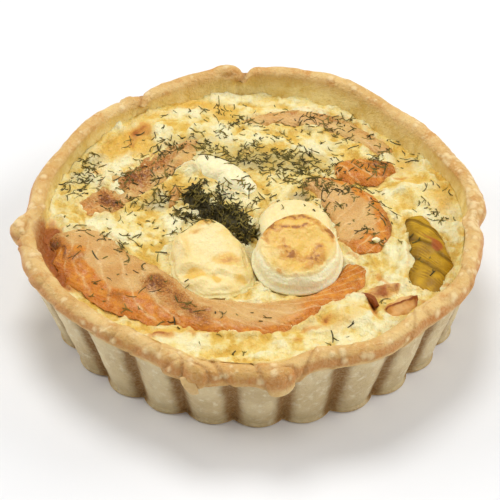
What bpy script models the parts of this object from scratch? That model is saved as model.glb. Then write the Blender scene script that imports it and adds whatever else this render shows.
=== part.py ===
# A small round quiche: a fluted pastry case with a rolled rim, baked egg custard, salmon slices,
# rounds of goat's cheese, a piece of leek, browned onion and dill.
# Sizes are in millimetres and become metres when a mesh is made. +Z is up and -Y is the front.
import math
import random

import bmesh
import bpy
import numpy as np
from mathutils import Vector
from mathutils.bvhtree import BVHTree

MM = 0.001
LIFT = 0.5  # clear space between a topping and the custard under it
SIDE_GAP = 0.4  # clear space between the custard and the case

# Pastry case
BASE_RADIUS = 51.0
BASE_EDGE = 1.2  # rounding where the wall meets the table
FLOOR_THICKNESS = 3.0
WALL_TOP = 23.0  # level at which the inner wall rounds over into the rim
FLUTE_COUNT = 27
FLUTE_DEPTH = 2.6
FLUTE_START = 1.0  # degrees by which a flute's crest lies right of the front
RIM_OVERHANG = 0.9
# width of the rim every 30 degrees from +X
RIM_WIDTHS = (4.4, 5.0, 5.3, 5.2, 5.0, 4.8, 4.8, 4.8, 4.5, 4.2, 4.4, 4.4)
RIM_DEPTH = 4.4
WALL_THICKNESS = 4.2  # at the foot, inside a flute's groove
STEPS_PER_FLUTE = 6
# outer radius of the rim every 15 degrees, counter-clockwise from +X
RIM_RADII = (
    56.7, 56.0, 54.8, 55.2, 57.3, 58.6, 58.8, 58.5, 56.6, 56.4, 56.0, 56.0,
    56.6, 58.8, 59.0, 58.2, 56.8, 58.6, 59.0, 57.4, 58.6, 57.9, 58.4, 57.1,
)
# height of the rim every 30 degrees from +X: it stands tallest at the back
RIM_HEIGHTS = (26.4, 27.0, 27.3, 27.2, 26.9, 26.5, 26.2, 25.6, 25.0, 24.6, 25.2, 25.8)
# angle, half width in degrees, rise, reach outwards and droop of the rim's own splits and folds
RIM_FEATURES = (
    (93.5, 1.8, -2.0, -1.4, 0.0),
    (124.5, 2.0, -1.3, -0.8, 0.0),
    (188.0, 4.0, 0.5, 2.6, 0.3),
    (228.0, 3.0, -0.5, -0.6, 0.0),
    (256.5, 5.2, 0.2, 1.9, 1.2),
    (276.0, 4.6, 0.2, 2.3, 2.4),
    (354.0, 3.0, -0.6, -1.4, 0.0),
)

# Custard
CUSTARD_LEVEL = 20.6
CUSTARD_SEGMENTS = 80
CUSTARD_RINGS = 11
# x, y, rise and the spread along x and y of each mound or hollow
MOUNDS = (
    (-24.0, 36.0, 3.4, 17.0, 13.0),
    (-46.0, 6.0, 1.6, 8.0, 14.0),
    (-2.0, 16.0, 1.8, 18.0, 14.0),
    (-6.0, -47.0, 1.7, 26.0, 7.0),
    (22.0, -36.0, 2.8, 8.5, 6.5),
    (42.0, 12.0, 2.2, 8.0, 9.0),
    (30.0, 41.0, -0.9, 12.0, 10.0),
)

# Salmon, as stations of x, y and half width along each slice
SALMON_THICKNESS = 2.2
SALMON_FRONT = (
    (-50.0, -7.0, 2.2), (-43.5, -10.5, 7.8), (-36.5, -19.5, 9.2), (-27.2, -27.6, 9.4),
    (-16.0, -34.2, 7.0), (-4.0, -37.0, 6.3), (6.5, -36.0, 5.3), (15.6, -31.4, 3.6),
    (21.4, -25.4, 3.5), (24.6, -18.2, 3.2),
)
SALMON_RIGHT = (
    (12.5, 13.5, 2.0), (18.0, 11.3, 4.3), (23.5, 5.8, 6.8), (26.2, -1.5, 7.2),
    (27.0, -7.6, 6.2), (27.4, -13.4, 3.6),
)
SALMON_TIP = ((20.5, 19.4, 2.4), (25.2, 19.0, 5.0), (30.5, 19.0, 4.6), (35.2, 20.6, 1.8))
SALMON_BACK = (
    (-3.0, 39.5, 1.6), (5.0, 42.3, 2.9), (14.0, 42.4, 3.5), (23.0, 38.8, 3.4),
    (30.0, 32.6, 2.8), (34.8, 26.8, 1.5),
)
SALMON_LEFT = (
    (-42.4, 1.4, 2.2), (-39.2, 5.6, 4.4), (-33.0, 11.6, 5.6), (-26.5, 17.6, 5.4),
    (-20.3, 24.2, 4.0), (-14.6, 30.4, 1.8),
)
SALMON_FLAKE = ((-20.9, 4.4, 0.7), (-20.3, 8.2, 1.1), (-19.8, 11.8, 0.6))

# Goat's cheese, as a centre, radii round it from +X, and thickness
CHEESE_RIGHT = ((10.2, -18.5), (10.1, 10.8, 11.2, 10.3, 10.2, 9.9, 9.5, 9.8), 4.8)
CHEESE_UNDER = ((10.0, -4.8), (8.6, 9.8, 10.2, 9.8, 9.0, 8.6, 9.0, 9.0), 2.6)
# the left lump leans back over a low melted tier: level of that tier, step up, rise of the face
CHEESE_LEFT = (
    (-10.0, -18.0),
    (9.4, 8.6, 9.6, 12.6, 11.8, 12.2, 9.6, 9.4, 9.8, 10.6, 11.4, 11.0),
)
CHEESE_BACK = ((-14.6, 22.0, 2.2), (-9.4, 18.2, 3.9), (-4.2, 13.2, 3.6), (-0.6, 8.6, 1.8))
LEFT_TIERS = (1.4, 0.9, 3.2)
CHEESE_TILT = 0.16  # rise of the right round's foot per millimetre towards the back
CHEESE_FRONT_FOOT = 21.9
CHEESE_HEAD_TILT = 0.11  # the right round is thicker at its back by this much per millimetre

# Vegetables
LEEK = ((39.6, -0.6, 2.6), (41.4, -8.0, 4.3), (42.4, -17.0, 5.2), (40.2, -26.6, 4.6))
ONION_CHIP = ((31.2, -36.2, 1.6), (34.4, -33.4, 2.7), (38.4, -30.2, 1.3))
ONION_STREAK = ((25.2, -28.4, 0.8), (27.2, -30.6, 1.2), (28.8, -33.4, 0.7))

# Dill
DILL_CLUMP = (
    (-16.0, 10.4, 1.6), (-14.2, 5.8, 3.1), (-11.6, 2.0, 2.6), (-7.6, -0.6, 3.3),
    (-4.2, -4.6, 2.2), (-1.4, -8.2, 1.0),
)
DILL_WIDTH = 0.75
DILL_DEPTH = 1.1
DILL_SPACING = 2.6
DILL_SEED = 17
# x, y, spread and share of each patch where dill was strewn thickly
DILL_PATCHES = (
    (0.0, 22.0, 13.0, 1.0),
    (-44.0, 20.0, 8.0, 0.9),
    (-28.0, 22.0, 12.0, 0.7),
    (20.0, 40.0, 12.0, 0.5),
    (44.0, 26.0, 8.0, 0.6),
    (-24.0, -6.0, 12.0, 0.45),
    (24.0, 6.0, 8.0, 0.6),
    (0.0, -40.0, 20.0, 0.12),
)


def around(values, angle):
    """A value at an angle, by a cubic through evenly spaced ones round a full turn."""
    values = np.asarray(values, float)
    place = np.asarray(angle, float) / math.tau * len(values)
    first = np.floor(place).astype(int)
    part = place - first
    before, low, high, after = (values[(first + k) % len(values)] for k in (-1, 0, 1, 2))
    slope = high - before
    bend = 2 * before - 5 * low + 4 * high - after
    twist = 3 * (low - high) + after - before
    return low + 0.5 * part * (slope + part * (bend + part * twist))


def near_angle(angle, centre, half_width):
    """1 at the centre angle, falling to 0 either side of it."""
    away = (np.degrees(angle) - centre + 180) % 360 - 180
    return np.exp(-((away / half_width) ** 2))


def rim_shape(angle):
    """The rim's outer radius, its height and how far its lip droops, at an angle."""
    radius = around(RIM_RADII, angle) + 0.3 * np.sin(11 * angle + 0.6)
    height = around(RIM_HEIGHTS, angle) + 0.25 * np.sin(5 * angle + 1.1) + 0.2 * np.sin(13 * angle)
    droop = 0.3 + 0.3 * np.sin(7 * angle + 2.0)
    for centre, half_width, rise, reach, fall in RIM_FEATURES:
        share = near_angle(angle, centre, half_width)
        radius = radius + reach * share
        height = height + rise * share
        droop = droop + fall * share
    return radius, height, droop


def groove(angle):
    """Depth of the flutes' V grooves at an angle: none at a crest, all of it at a groove."""
    turn = FLUTE_COUNT * (angle + math.pi / 2 - math.radians(FLUTE_START)) / 2
    return FLUTE_DEPTH * (1 - np.abs(np.cos(turn)) ** 0.75)


def inner_radius(angle, height):
    """Radius of the case's inner wall at a height, leaning out from the floor to the rim."""
    top = around(RIM_RADII, angle) - around(RIM_WIDTHS, angle)
    foot = BASE_RADIUS - WALL_THICKNESS - 1.0
    share = np.clip((height - FLOOR_THICKNESS) / (WALL_TOP - FLOOR_THICKNESS), 0, 1)
    return foot + (top - foot) * share


def custard_top(x, y):
    """Height of the baked custard: a level, its mounds and a gentle ripple."""
    height = CUSTARD_LEVEL + 0.22 * np.sin(x / 5.3 + 0.8) * np.cos(y / 4.6)
    for centre_x, centre_y, rise, spread_x, spread_y in MOUNDS:
        reach = ((x - centre_x) / spread_x) ** 2 + ((y - centre_y) / spread_y) ** 2
        height = height + rise * np.exp(-reach)
    return height


def material(name, colour, roughness):
    made = bpy.data.materials.new(name)
    made.use_nodes = True
    shader = made.node_tree.nodes["Principled BSDF"]
    shader.inputs["Base Color"].default_value = (*colour, 1.0)
    shader.inputs["Roughness"].default_value = roughness
    shader.inputs["Metallic"].default_value = 0.0
    return made


def skin(name, rings, finish):
    """One closed solid from closed rings of points, with a flat face on the first and last."""
    shape = bmesh.new()
    loops = [[shape.verts.new(Vector(point) * MM) for point in ring] for ring in rings]
    for lower, upper in zip(loops, loops[1:]):
        count = len(lower)
        for k in range(count):
            after = (k + 1) % count
            shape.faces.new((lower[k], lower[after], upper[after], upper[k]))
    shape.faces.new(loops[0])
    shape.faces.new(loops[-1])
    bmesh.ops.triangulate(shape, faces=[f for f in shape.faces if len(f.verts) > 4])
    bmesh.ops.recalc_face_normals(shape, faces=shape.faces)
    mesh = bpy.data.meshes.new(name)
    shape.to_mesh(mesh)
    shape.free()
    mesh.shade_smooth()
    mesh.set_sharp_from_angle(angle=math.radians(50))
    mesh.materials.append(finish)
    made = bpy.data.objects.new(name, mesh)
    bpy.context.scene.collection.objects.link(made)
    return made


def circle_ring(radius, height, angle):
    """One closed ring of points at a radius and a height, which may vary round it."""
    radius = radius + 0 * angle
    height = height + 0 * angle
    return np.stack([radius * np.cos(angle), radius * np.sin(angle), height], axis=-1)


def make_case(finish):
    """The pastry case: flat foot, fluted wall, rolled rim, smooth inside and a flat floor."""
    angle = np.linspace(0, math.tau, FLUTE_COUNT * STEPS_PER_FLUTE, endpoint=False)
    angle = angle + math.radians(FLUTE_START)
    radius, height, droop = rim_shape(angle)
    cut = groove(angle)
    wall_top = height - RIM_DEPTH - droop
    top_radius = around(RIM_RADII, angle) - RIM_OVERHANG
    rings = [
        circle_ring(BASE_RADIUS * 0.5, 0, angle),
        circle_ring(BASE_RADIUS - BASE_EDGE - 0.9 * cut, 0, angle),
    ]
    for share in (0.06, 0.35, 0.7, 0.97):
        lean = BASE_RADIUS + (top_radius - BASE_RADIUS) * share ** 0.9
        depth = cut * (1.0 - 0.45 * share ** 3)
        rings.append(circle_ring(lean - depth, wall_top * share, angle))
    rings += [
        circle_ring(radius - 0.7, height - RIM_DEPTH + 0.5 - droop, angle),
        circle_ring(radius, height - 2.3 - 0.5 * droop, angle),
        circle_ring(radius - 0.9, height - 0.7, angle),
        circle_ring(radius - 2.5, height, angle),
        circle_ring(radius - 4.3, height - 0.8, angle),
        circle_ring(inner_radius(angle, WALL_TOP), WALL_TOP, angle),
        circle_ring(inner_radius(angle, WALL_TOP / 2), WALL_TOP / 2, angle),
        circle_ring(inner_radius(angle, FLOOR_THICKNESS), FLOOR_THICKNESS, angle),
        circle_ring(BASE_RADIUS * 0.5, FLOOR_THICKNESS, angle),
    ]
    return skin("case", rings, finish)


def make_custard(finish):
    """The custard: fills the case to an uneven baked top, clear of the wall and the floor."""
    angle = np.linspace(0, math.tau, CUSTARD_SEGMENTS, endpoint=False)
    foot = FLOOR_THICKNESS + SIDE_GAP
    side = inner_radius(angle, CUSTARD_LEVEL) - SIDE_GAP
    edge = custard_top(side * np.cos(angle), side * np.sin(angle))
    side = inner_radius(angle, edge) - SIDE_GAP
    rings = [
        circle_ring(inner_radius(angle, foot) - SIDE_GAP, foot, angle),
        circle_ring(inner_radius(angle, WALL_TOP / 2) - SIDE_GAP, WALL_TOP / 2, angle),
    ]
    for k in range(CUSTARD_RINGS):
        radius = side * (1 - k / CUSTARD_RINGS)
        top = custard_top(radius * np.cos(angle), radius * np.sin(angle))
        rings.append(circle_ring(radius, top, angle))
    return skin("custard", rings, finish)


def smooth_path(stations, steps):
    """Stations at even steps along a path, by a cubic through the given ones."""
    given = np.asarray(stations, float)
    given = np.vstack([2 * given[0] - given[1], given, 2 * given[-1] - given[-2]])
    place = np.linspace(0, len(stations) - 1 - 1e-9, steps)
    first = np.floor(place).astype(int)
    part = (place - first)[:, None]
    before, low, high, after = (given[first + k] for k in (0, 1, 2, 3))
    slope = high - before
    bend = 2 * before - 5 * low + 4 * high - after
    twist = 3 * (low - high) + after - before
    return low + 0.5 * part * (slope + part * (bend + part * twist))


def make_slice(name, stations, thickness, finish, steps=16, across=7, ridge=0.0, lift=LIFT):
    """A slice on the custard: a crowned strip along its stations, its left edge raised by ridge."""
    path = smooth_path(stations, steps)
    ahead = np.gradient(path[:, :2], axis=0)
    ahead /= np.linalg.norm(ahead, axis=1, keepdims=True)
    left = np.stack([-ahead[:, 1], ahead[:, 0]], axis=-1)
    top = np.linspace(1, -1, across)
    under = np.linspace(-0.93, 0.93, across - 2)
    side = np.concatenate([top, under])
    crown = np.concatenate([thickness * (0.5 + 0.5 * (1 - top ** 4)), 0 * under])
    crown += np.concatenate([ridge * ((1 + top) / 2) ** 3, 0 * under])
    place = path[:, None, :2] + left[:, None] * (side[None, :, None] * path[:, None, 2:])
    along = np.linspace(-1, 1, steps)
    taper = 0.55 + 0.45 * (1 - along ** 6)
    height = custard_top(place[..., 0], place[..., 1]) + lift + crown[None] * taper[:, None]
    rings = np.concatenate([place, height[..., None]], axis=-1)
    return skin(name, rings, finish)


# share of the radius and share of the height, from the middle of the top to that of the foot
ROUND_PROFILE = (
    (0.3, 1.0), (0.66, 0.98), (0.88, 0.86), (0.99, 0.55), (0.97, 0.12), (0.88, 0.0), (0.4, 0.0),
)


def make_round(name, centre, radii, foot, head, finish, segments=26):
    """A round of soft cheese between a foot and a head surface, with a rounded side."""
    angle = np.linspace(0, math.tau, segments, endpoint=False)
    reach = around(radii, angle)
    rings = []
    for share, level in ROUND_PROFILE:
        x = centre[0] + share * reach * np.cos(angle)
        y = centre[1] + share * reach * np.sin(angle)
        low = foot(x, y)
        rings.append(np.stack([x, y, low + (head(x, y) - low) * level], axis=-1))
    return skin(name, rings, finish)


def on_custard(x, y):
    return custard_top(x, y) + LIFT


def right_foot(x, y):
    """The right round leans on the one behind it, so its foot rises towards the back."""
    return CHEESE_FRONT_FOOT + CHEESE_TILT * (y - CHEESE_RIGHT[0][1] + 10) + 0 * x


def under_head(x, y):
    """The round behind is pressed flat where the right one leans on it."""
    open_top = on_custard(x, y) + CHEESE_UNDER[2]
    away = np.hypot(x - CHEESE_RIGHT[0][0], y - CHEESE_RIGHT[0][1])
    pressed = right_foot(x, y) - LIFT
    return np.where(away < 12.5, np.minimum(open_top, pressed), open_top)


def left_head(x, y):
    """The left lump steps up from its melted tier and its face climbs to a peak at its back."""
    lower, cliff, climb = LEFT_TIERS
    peak = np.exp(-(((x + 12.6) / 3.2) ** 2) - ((y + 6.6) / 3.6) ** 2)
    tier = np.clip((y + 22.3 + 0.19 * (x + 10.0)) / 1.8 + 0.5, 0, 1)
    slope = np.clip((y + 22.0) / 14.0, 0, 1)
    return on_custard(x, y) + lower + cliff * tier + climb * slope + 1.3 * peak


def make_cheeses(finish):
    centre, radii, _ = CHEESE_UNDER
    under = make_round("cheese_under", centre, radii, on_custard, under_head, finish)
    centre, radii, thickness = CHEESE_RIGHT
    right = make_round(
        "cheese_right", centre, radii, right_foot,
        lambda x, y: right_foot(x, y) + thickness + CHEESE_HEAD_TILT * (y - centre[1]), finish,
    )
    centre, radii = CHEESE_LEFT
    left = make_round("cheese_left", centre, radii, on_custard, left_head, finish)
    back = make_slice("cheese_back", CHEESE_BACK, 2.6, finish, steps=10)
    return [under, right, left, back]


def make_frond(x, y, z, heading, length, bend, rise):
    """One shred of dill: a bent bar with four sides, sunk to half its depth."""
    rings = []
    for along in (-0.5, 0.0, 0.5):
        turn = heading + bend * along
        shift = length * along
        centre = (x + shift * math.cos(turn), y + shift * math.sin(turn))
        half = DILL_WIDTH * (0.5 - 0.3 * abs(along))
        across = (-math.sin(turn) * half, math.cos(turn) * half)
        low = z - DILL_DEPTH * 0.55
        high = z + DILL_DEPTH * 0.45 + rise * along
        rings.append([
            (centre[0] + across[0], centre[1] + across[1], low),
            (centre[0] - across[0], centre[1] - across[1], low),
            (centre[0] - 0.6 * across[0], centre[1] - 0.6 * across[1], high),
            (centre[0] + 0.6 * across[0], centre[1] + 0.6 * across[1], high),
        ])
    return skin("frond", rings, bpy.data.materials["dill"])


def surface_of(host):
    bpy.context.view_layer.update()
    return BVHTree.FromObject(host, bpy.context.evaluated_depsgraph_get())


def height_on(tree, x, y):
    """Height and upward tilt of a surface under a point, or None where it isn't."""
    found, normal, _, _ = tree.ray_cast(Vector((x, y, 100.0)) * MM, Vector((0, 0, -1)))
    return None if found is None else (found.z / MM, normal.z)


def dill_share(x, y):
    share = 0.1
    for centre_x, centre_y, spread, amount in DILL_PATCHES:
        share += amount * math.exp(-((x - centre_x) ** 2 + (y - centre_y) ** 2) / spread ** 2)
    return min(share, 1.0)


def strew(host, others, count, draw):
    """Fuses shreds of dill onto a host, spread by their patches, clear of the other pieces."""
    tree = surface_of(host)
    blocks = [surface_of(other) for other in others]
    corners = [host.matrix_world @ Vector(corner) / MM for corner in host.bound_box]
    low_x, high_x = min(c.x for c in corners), max(c.x for c in corners)
    low_y, high_y = min(c.y for c in corners), max(c.y for c in corners)
    laid = []
    for _ in range(count * 60):
        if len(laid) == count:
            break
        x, y = draw.uniform(low_x, high_x), draw.uniform(low_y, high_y)
        heading, length = draw.uniform(0, math.pi), draw.uniform(3.0, 5.2)
        bend, rise = draw.uniform(-0.9, 0.9), draw.uniform(-0.3, 0.3)
        if draw.random() > dill_share(x, y):
            continue
        if any(math.hypot(x - p[0], y - p[1]) < DILL_SPACING + length / 2 for p in laid):
            continue
        spots = [
            (x + step * length * math.cos(heading), y + step * length * math.sin(heading))
            for step in (-0.75, 0.0, 0.75)
        ]
        sides = [(x + dx, y + dy) for dx, dy in ((1.3, 0), (-1.3, 0), (0, 1.3), (0, -1.3))]
        heights = [height_on(tree, *spot) for spot in spots]
        if any(h is None or h[1] < 0.8 for h in heights):
            continue
        if any(height_on(block, *spot) for block in blocks for spot in spots + sides):
            continue
        spread = max(h[0] for h in heights) - min(h[0] for h in heights)
        if spread > 0.5:
            continue
        laid.append((x, y, heights[1][0], heading, length, bend, rise))
    fuse(host, [make_frond(*shred) for shred in laid])


def fuse(host, pieces):
    """Joins the pieces to their host with one Boolean union, applied, and removes them."""
    group = bpy.data.collections.new("pieces")
    bpy.context.scene.collection.children.link(group)
    for piece in pieces:
        group.objects.link(piece)
        bpy.context.scene.collection.objects.unlink(piece)
    union = host.modifiers.new("union", "BOOLEAN")
    union.operation = "UNION"
    union.operand_type = "COLLECTION"
    union.collection = group
    union.solver = "EXACT"
    bpy.context.view_layer.update()
    whole = host.evaluated_get(bpy.context.evaluated_depsgraph_get())
    joined = bpy.data.meshes.new_from_object(whole)
    host.modifiers.remove(union)
    host.data = joined
    joined.name = host.name
    for piece in pieces:
        bpy.data.objects.remove(piece)
    bpy.data.collections.remove(group)


def make_clump(finish, draw):
    """The dark heap of dill: an uneven core with shreds standing out of it."""
    core = make_slice("dill_clump", DILL_CLUMP, 2.4, finish, steps=14, across=6)
    tree = surface_of(core)
    path = smooth_path(DILL_CLUMP, 11)
    shreds = []
    for k, (x, y, half_width) in enumerate(path):
        side = half_width * (0.45 if k % 2 else -0.45)
        found = height_on(tree, x + side, y + side)
        if found is not None:
            length = draw.uniform(3.2, 4.6)
            heading = draw.uniform(0, math.pi)
            shreds.append((x + side, y + side, found[0], heading, length, 0.6, 0.9))
    fuse(core, [make_frond(*shred) for shred in shreds[::2]])
    return core


def main():
    for old in list(bpy.data.objects):
        bpy.data.objects.remove(old)
    pastry = material("pastry", (0.74, 0.56, 0.33), 0.65)
    egg = material("egg", (0.93, 0.80, 0.42), 0.5)
    fish = material("salmon", (0.85, 0.47, 0.22), 0.4)
    cheese = material("goats_cheese", (0.95, 0.88, 0.65), 0.55)
    green = material("leek", (0.62, 0.49, 0.10), 0.45)
    brown = material("onion", (0.62, 0.33, 0.13), 0.5)
    dill = material("dill", (0.15, 0.16, 0.06), 0.7)

    make_case(pastry)
    custard = make_custard(egg)
    front = make_slice("salmon_front", SALMON_FRONT, SALMON_THICKNESS, fish, 26, 8)
    right = make_slice("salmon_right", SALMON_RIGHT, SALMON_THICKNESS, fish, 16, 8, ridge=0.3)
    tip = make_slice("salmon_tip", SALMON_TIP, SALMON_THICKNESS, fish, 12, 7, ridge=0.4)
    back = make_slice("salmon_back", SALMON_BACK, 1.8, fish, 18, 6)
    left = make_slice("salmon_left", SALMON_LEFT, SALMON_THICKNESS, fish, 18, 7, ridge=0.8)
    flake = make_slice("salmon_flake", SALMON_FLAKE, 2.6, fish, 7, 5)
    cheeses = make_cheeses(cheese)
    leek = make_slice("leek", LEEK, 2.4, green, 16, 8, ridge=0.3)
    chip = make_slice("onion_chip", ONION_CHIP, 1.5, brown, 8, 6, ridge=0.8)
    streak = make_slice("onion_streak", ONION_STREAK, 1.6, brown, 7, 5)
    draw = random.Random(DILL_SEED)
    clump = make_clump(dill, draw)

    toppings = [front, right, tip, back, left, flake, *cheeses, leek, chip, streak, clump]
    strew(custard, toppings, 50, draw)
    for host, count in ((front, 7), (right, 6), (tip, 2), (back, 3), (left, 6)):
        strew(host, cheeses + [clump], count, draw)
    strew(cheeses[3], [clump], 2, draw)
    strew(cheeses[2], [clump, cheeses[1]], 2, draw)


main()
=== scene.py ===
import math

import bpy
import numpy as np
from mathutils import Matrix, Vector


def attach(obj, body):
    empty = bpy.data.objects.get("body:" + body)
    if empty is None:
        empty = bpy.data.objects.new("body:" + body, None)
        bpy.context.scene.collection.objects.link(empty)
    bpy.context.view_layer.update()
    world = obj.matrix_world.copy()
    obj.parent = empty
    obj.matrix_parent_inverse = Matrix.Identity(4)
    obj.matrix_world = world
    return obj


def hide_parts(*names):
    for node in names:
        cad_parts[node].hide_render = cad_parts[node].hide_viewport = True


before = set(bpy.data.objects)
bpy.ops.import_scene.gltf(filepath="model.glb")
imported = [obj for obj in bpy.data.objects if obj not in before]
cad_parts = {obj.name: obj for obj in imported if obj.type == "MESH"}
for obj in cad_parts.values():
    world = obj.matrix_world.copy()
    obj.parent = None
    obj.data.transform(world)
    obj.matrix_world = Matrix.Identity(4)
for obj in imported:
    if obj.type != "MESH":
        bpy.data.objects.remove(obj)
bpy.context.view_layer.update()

mm = 0.001


# Noise, blends and spots that all the shapes share

def valueNoise(x, y, z, cell, seed):
    # a hashed value at each corner of a cube of one cell, blended by smooth steps, from -1 to 1
    place = np.stack(np.broadcast_arrays(x, y, z), axis=-1) / cell + 17.31 * seed
    low = np.floor(place).astype(np.int64)
    part = place - low
    part = part * part * (3 - 2 * part)
    total = 0
    for corner in np.ndindex(2, 2, 2):
        a, b, c = (low[..., k] + corner[k] for k in range(3))
        bits = (a * 73856093) ^ (b * 19349663) ^ (c * 83492791) ^ (seed * 6971)
        bits = ((bits ^ (bits >> 13)) * 1274126177) & 0x7FFFFFFF
        bits = ((bits ^ (bits >> 15)) * 69069) & 0x7FFFFFFF
        value = ((bits >> 8) & 0xFFFF) / 32767.5 - 1
        for k in range(3):
            value = value * (part[..., k] if corner[k] else 1 - part[..., k])
        total = total + value
    return total


def roughNoise(x, y, z, cell, seed, octaves=3):
    # value noise at a cell size and its halves, each at half the strength
    total = 0
    for k in range(octaves):
        total = total + valueNoise(x, y, z, cell / 2 ** k, seed + k) / 2 ** k
    return total / (2 - 2 ** (1 - octaves))


def planNoise(x, y, cell, seed, octaves=3):
    # rough noise over the plan, the same at every height
    return roughNoise(x, y, 0, cell, seed, octaves)


def step(value, low, high):
    # smooth rise from 0 at low to 1 at high
    part = np.clip((value - low) / (high - low), 0, 1)
    return part * part * (3 - 2 * part)


def bell(value, width):
    # exp(-(value / width)^2): 1 where the value is 0, falling off to both sides
    return np.exp(-((value / width) ** 2))


def lines(value, width):
    # 1 along every whole number of a value, falling off over the width
    return bell(value - np.round(value), width)


def strayed(x, y, reach, cell, seed):
    # a place moved by noise, so that an oval laid there gets an uneven outline
    return [value + reach * planNoise(x, y, cell, seed + k, 1) for k, value in enumerate((x, y))]


def spots(x, y, listed):
    # sum of soft ovals: centre, half sizes, turn in degrees and strength of each
    total = 0 * x
    for centreX, centreY, sizeX, sizeY, turn, strength in listed:
        cos, sin = math.cos(math.radians(turn)), math.sin(math.radians(turn))
        along = (x - centreX) * cos + (y - centreY) * sin
        aside = (y - centreY) * cos - (x - centreX) * sin
        total = total + strength * np.exp(-((along / sizeX) ** 2) - (aside / sizeY) ** 2)
    return total


def roundTurn(values, angle):
    # a value at an angle, by a cubic through evenly spaced ones round a full turn
    values = np.asarray(values, float)
    place = np.asarray(angle, float) / math.tau * len(values)
    first = np.floor(place).astype(int)
    near = [values[(first + k) % len(values)] for k in (-1, 0, 1, 2)]
    return cubic(near, place - first)


def cubic(near, part):
    # the curve between the two middle ones of four values
    before, low, high, after = near
    slope = high - before
    bend = 2 * before - 5 * low + 4 * high - after
    twist = 3 * (low - high) + after - before
    return low + 0.5 * part * (slope + part * (bend + part * twist))


def carried(keys, place):
    # rows between key rows at given places, by a cubic through them
    keys = np.asarray(keys, float)
    padded = np.concatenate([2 * keys[:1] - keys[1:2], keys, 2 * keys[-1:] - keys[-2:-1]])
    place = np.minimum(place, len(keys) - 1 - 1e-9)
    first = np.floor(place).astype(int)
    part = (place - first).reshape((-1,) + (1,) * (keys.ndim - 1))
    return cubic([padded[first + k] for k in range(4)], part)


def evenly(steps):
    # places along key rings, so many steps in each gap, with the last ring
    place = [k + np.linspace(0, 1, count, endpoint=False) for k, count in enumerate(steps)]
    return np.concatenate(place + [[len(steps)]])


# Meshes

def outward(points):
    # unit normals of a grid of closed rings, from its two directions
    aside = np.roll(points, -1, axis=1) - np.roll(points, 1, axis=1)
    along = np.gradient(points, axis=0)
    normal = np.cross(aside, along)
    size = np.linalg.norm(normal, axis=-1, keepdims=True)
    return normal / np.maximum(size, 1e-9)


def placed(name, data):
    # a new object in the scene
    made = bpy.data.objects.new(name, data)
    bpy.context.scene.collection.objects.link(made)
    return made


def layMesh(name, points, masks):
    # a skin over rings of points, closed by a pole at each end, with its masks as attributes
    rows, columns = points.shape[:2]
    ring = np.arange(rows * columns).reshape(rows, columns)
    after = np.roll(ring, -1, axis=1)
    quads = np.stack([ring[:-1], after[:-1], after[1:], ring[1:]], axis=-1).reshape(-1, 4)
    first, last = np.full(columns, rows * columns), np.full(columns, rows * columns + 1)
    fans = np.concatenate([
        np.stack([first, after[0], ring[0]], axis=-1),
        np.stack([last, ring[-1], after[-1]], axis=-1),
    ])
    flat = np.concatenate([points.reshape(-1, 3), points[:1].mean(axis=1), points[-1:].mean(axis=1)])
    corner = flat[quads] - flat.mean(axis=0)
    volume = (corner[:, 0] * np.cross(corner[:, 1], corner[:, 2])).sum()
    if volume < 0:
        quads, fans = quads[:, ::-1], fans[:, ::-1]
    mesh = bpy.data.meshes.new(name)
    mesh.from_pydata((flat * mm).tolist(), [], quads.tolist() + fans.tolist())
    for key, values in masks.items():
        values = np.broadcast_to(values, (rows, columns))
        ends = [values[0].mean(), values[-1].mean()]
        layer = mesh.attributes.new(key, "FLOAT", "POINT")
        layer.data.foreach_set("value", np.concatenate([values.reshape(-1), ends]).astype(np.float32))
    mesh.shade_smooth()
    return placed(name, mesh)


def settle(made, finish, nodes):
    # gives a piece its finish, its body and the nodes that it stands for
    made.data.materials.append(finish)
    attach(made, "root")
    if nodes:
        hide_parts(*nodes)
    print("made", made.name, len(made.data.polygons), "faces")


# Shader maths

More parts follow.
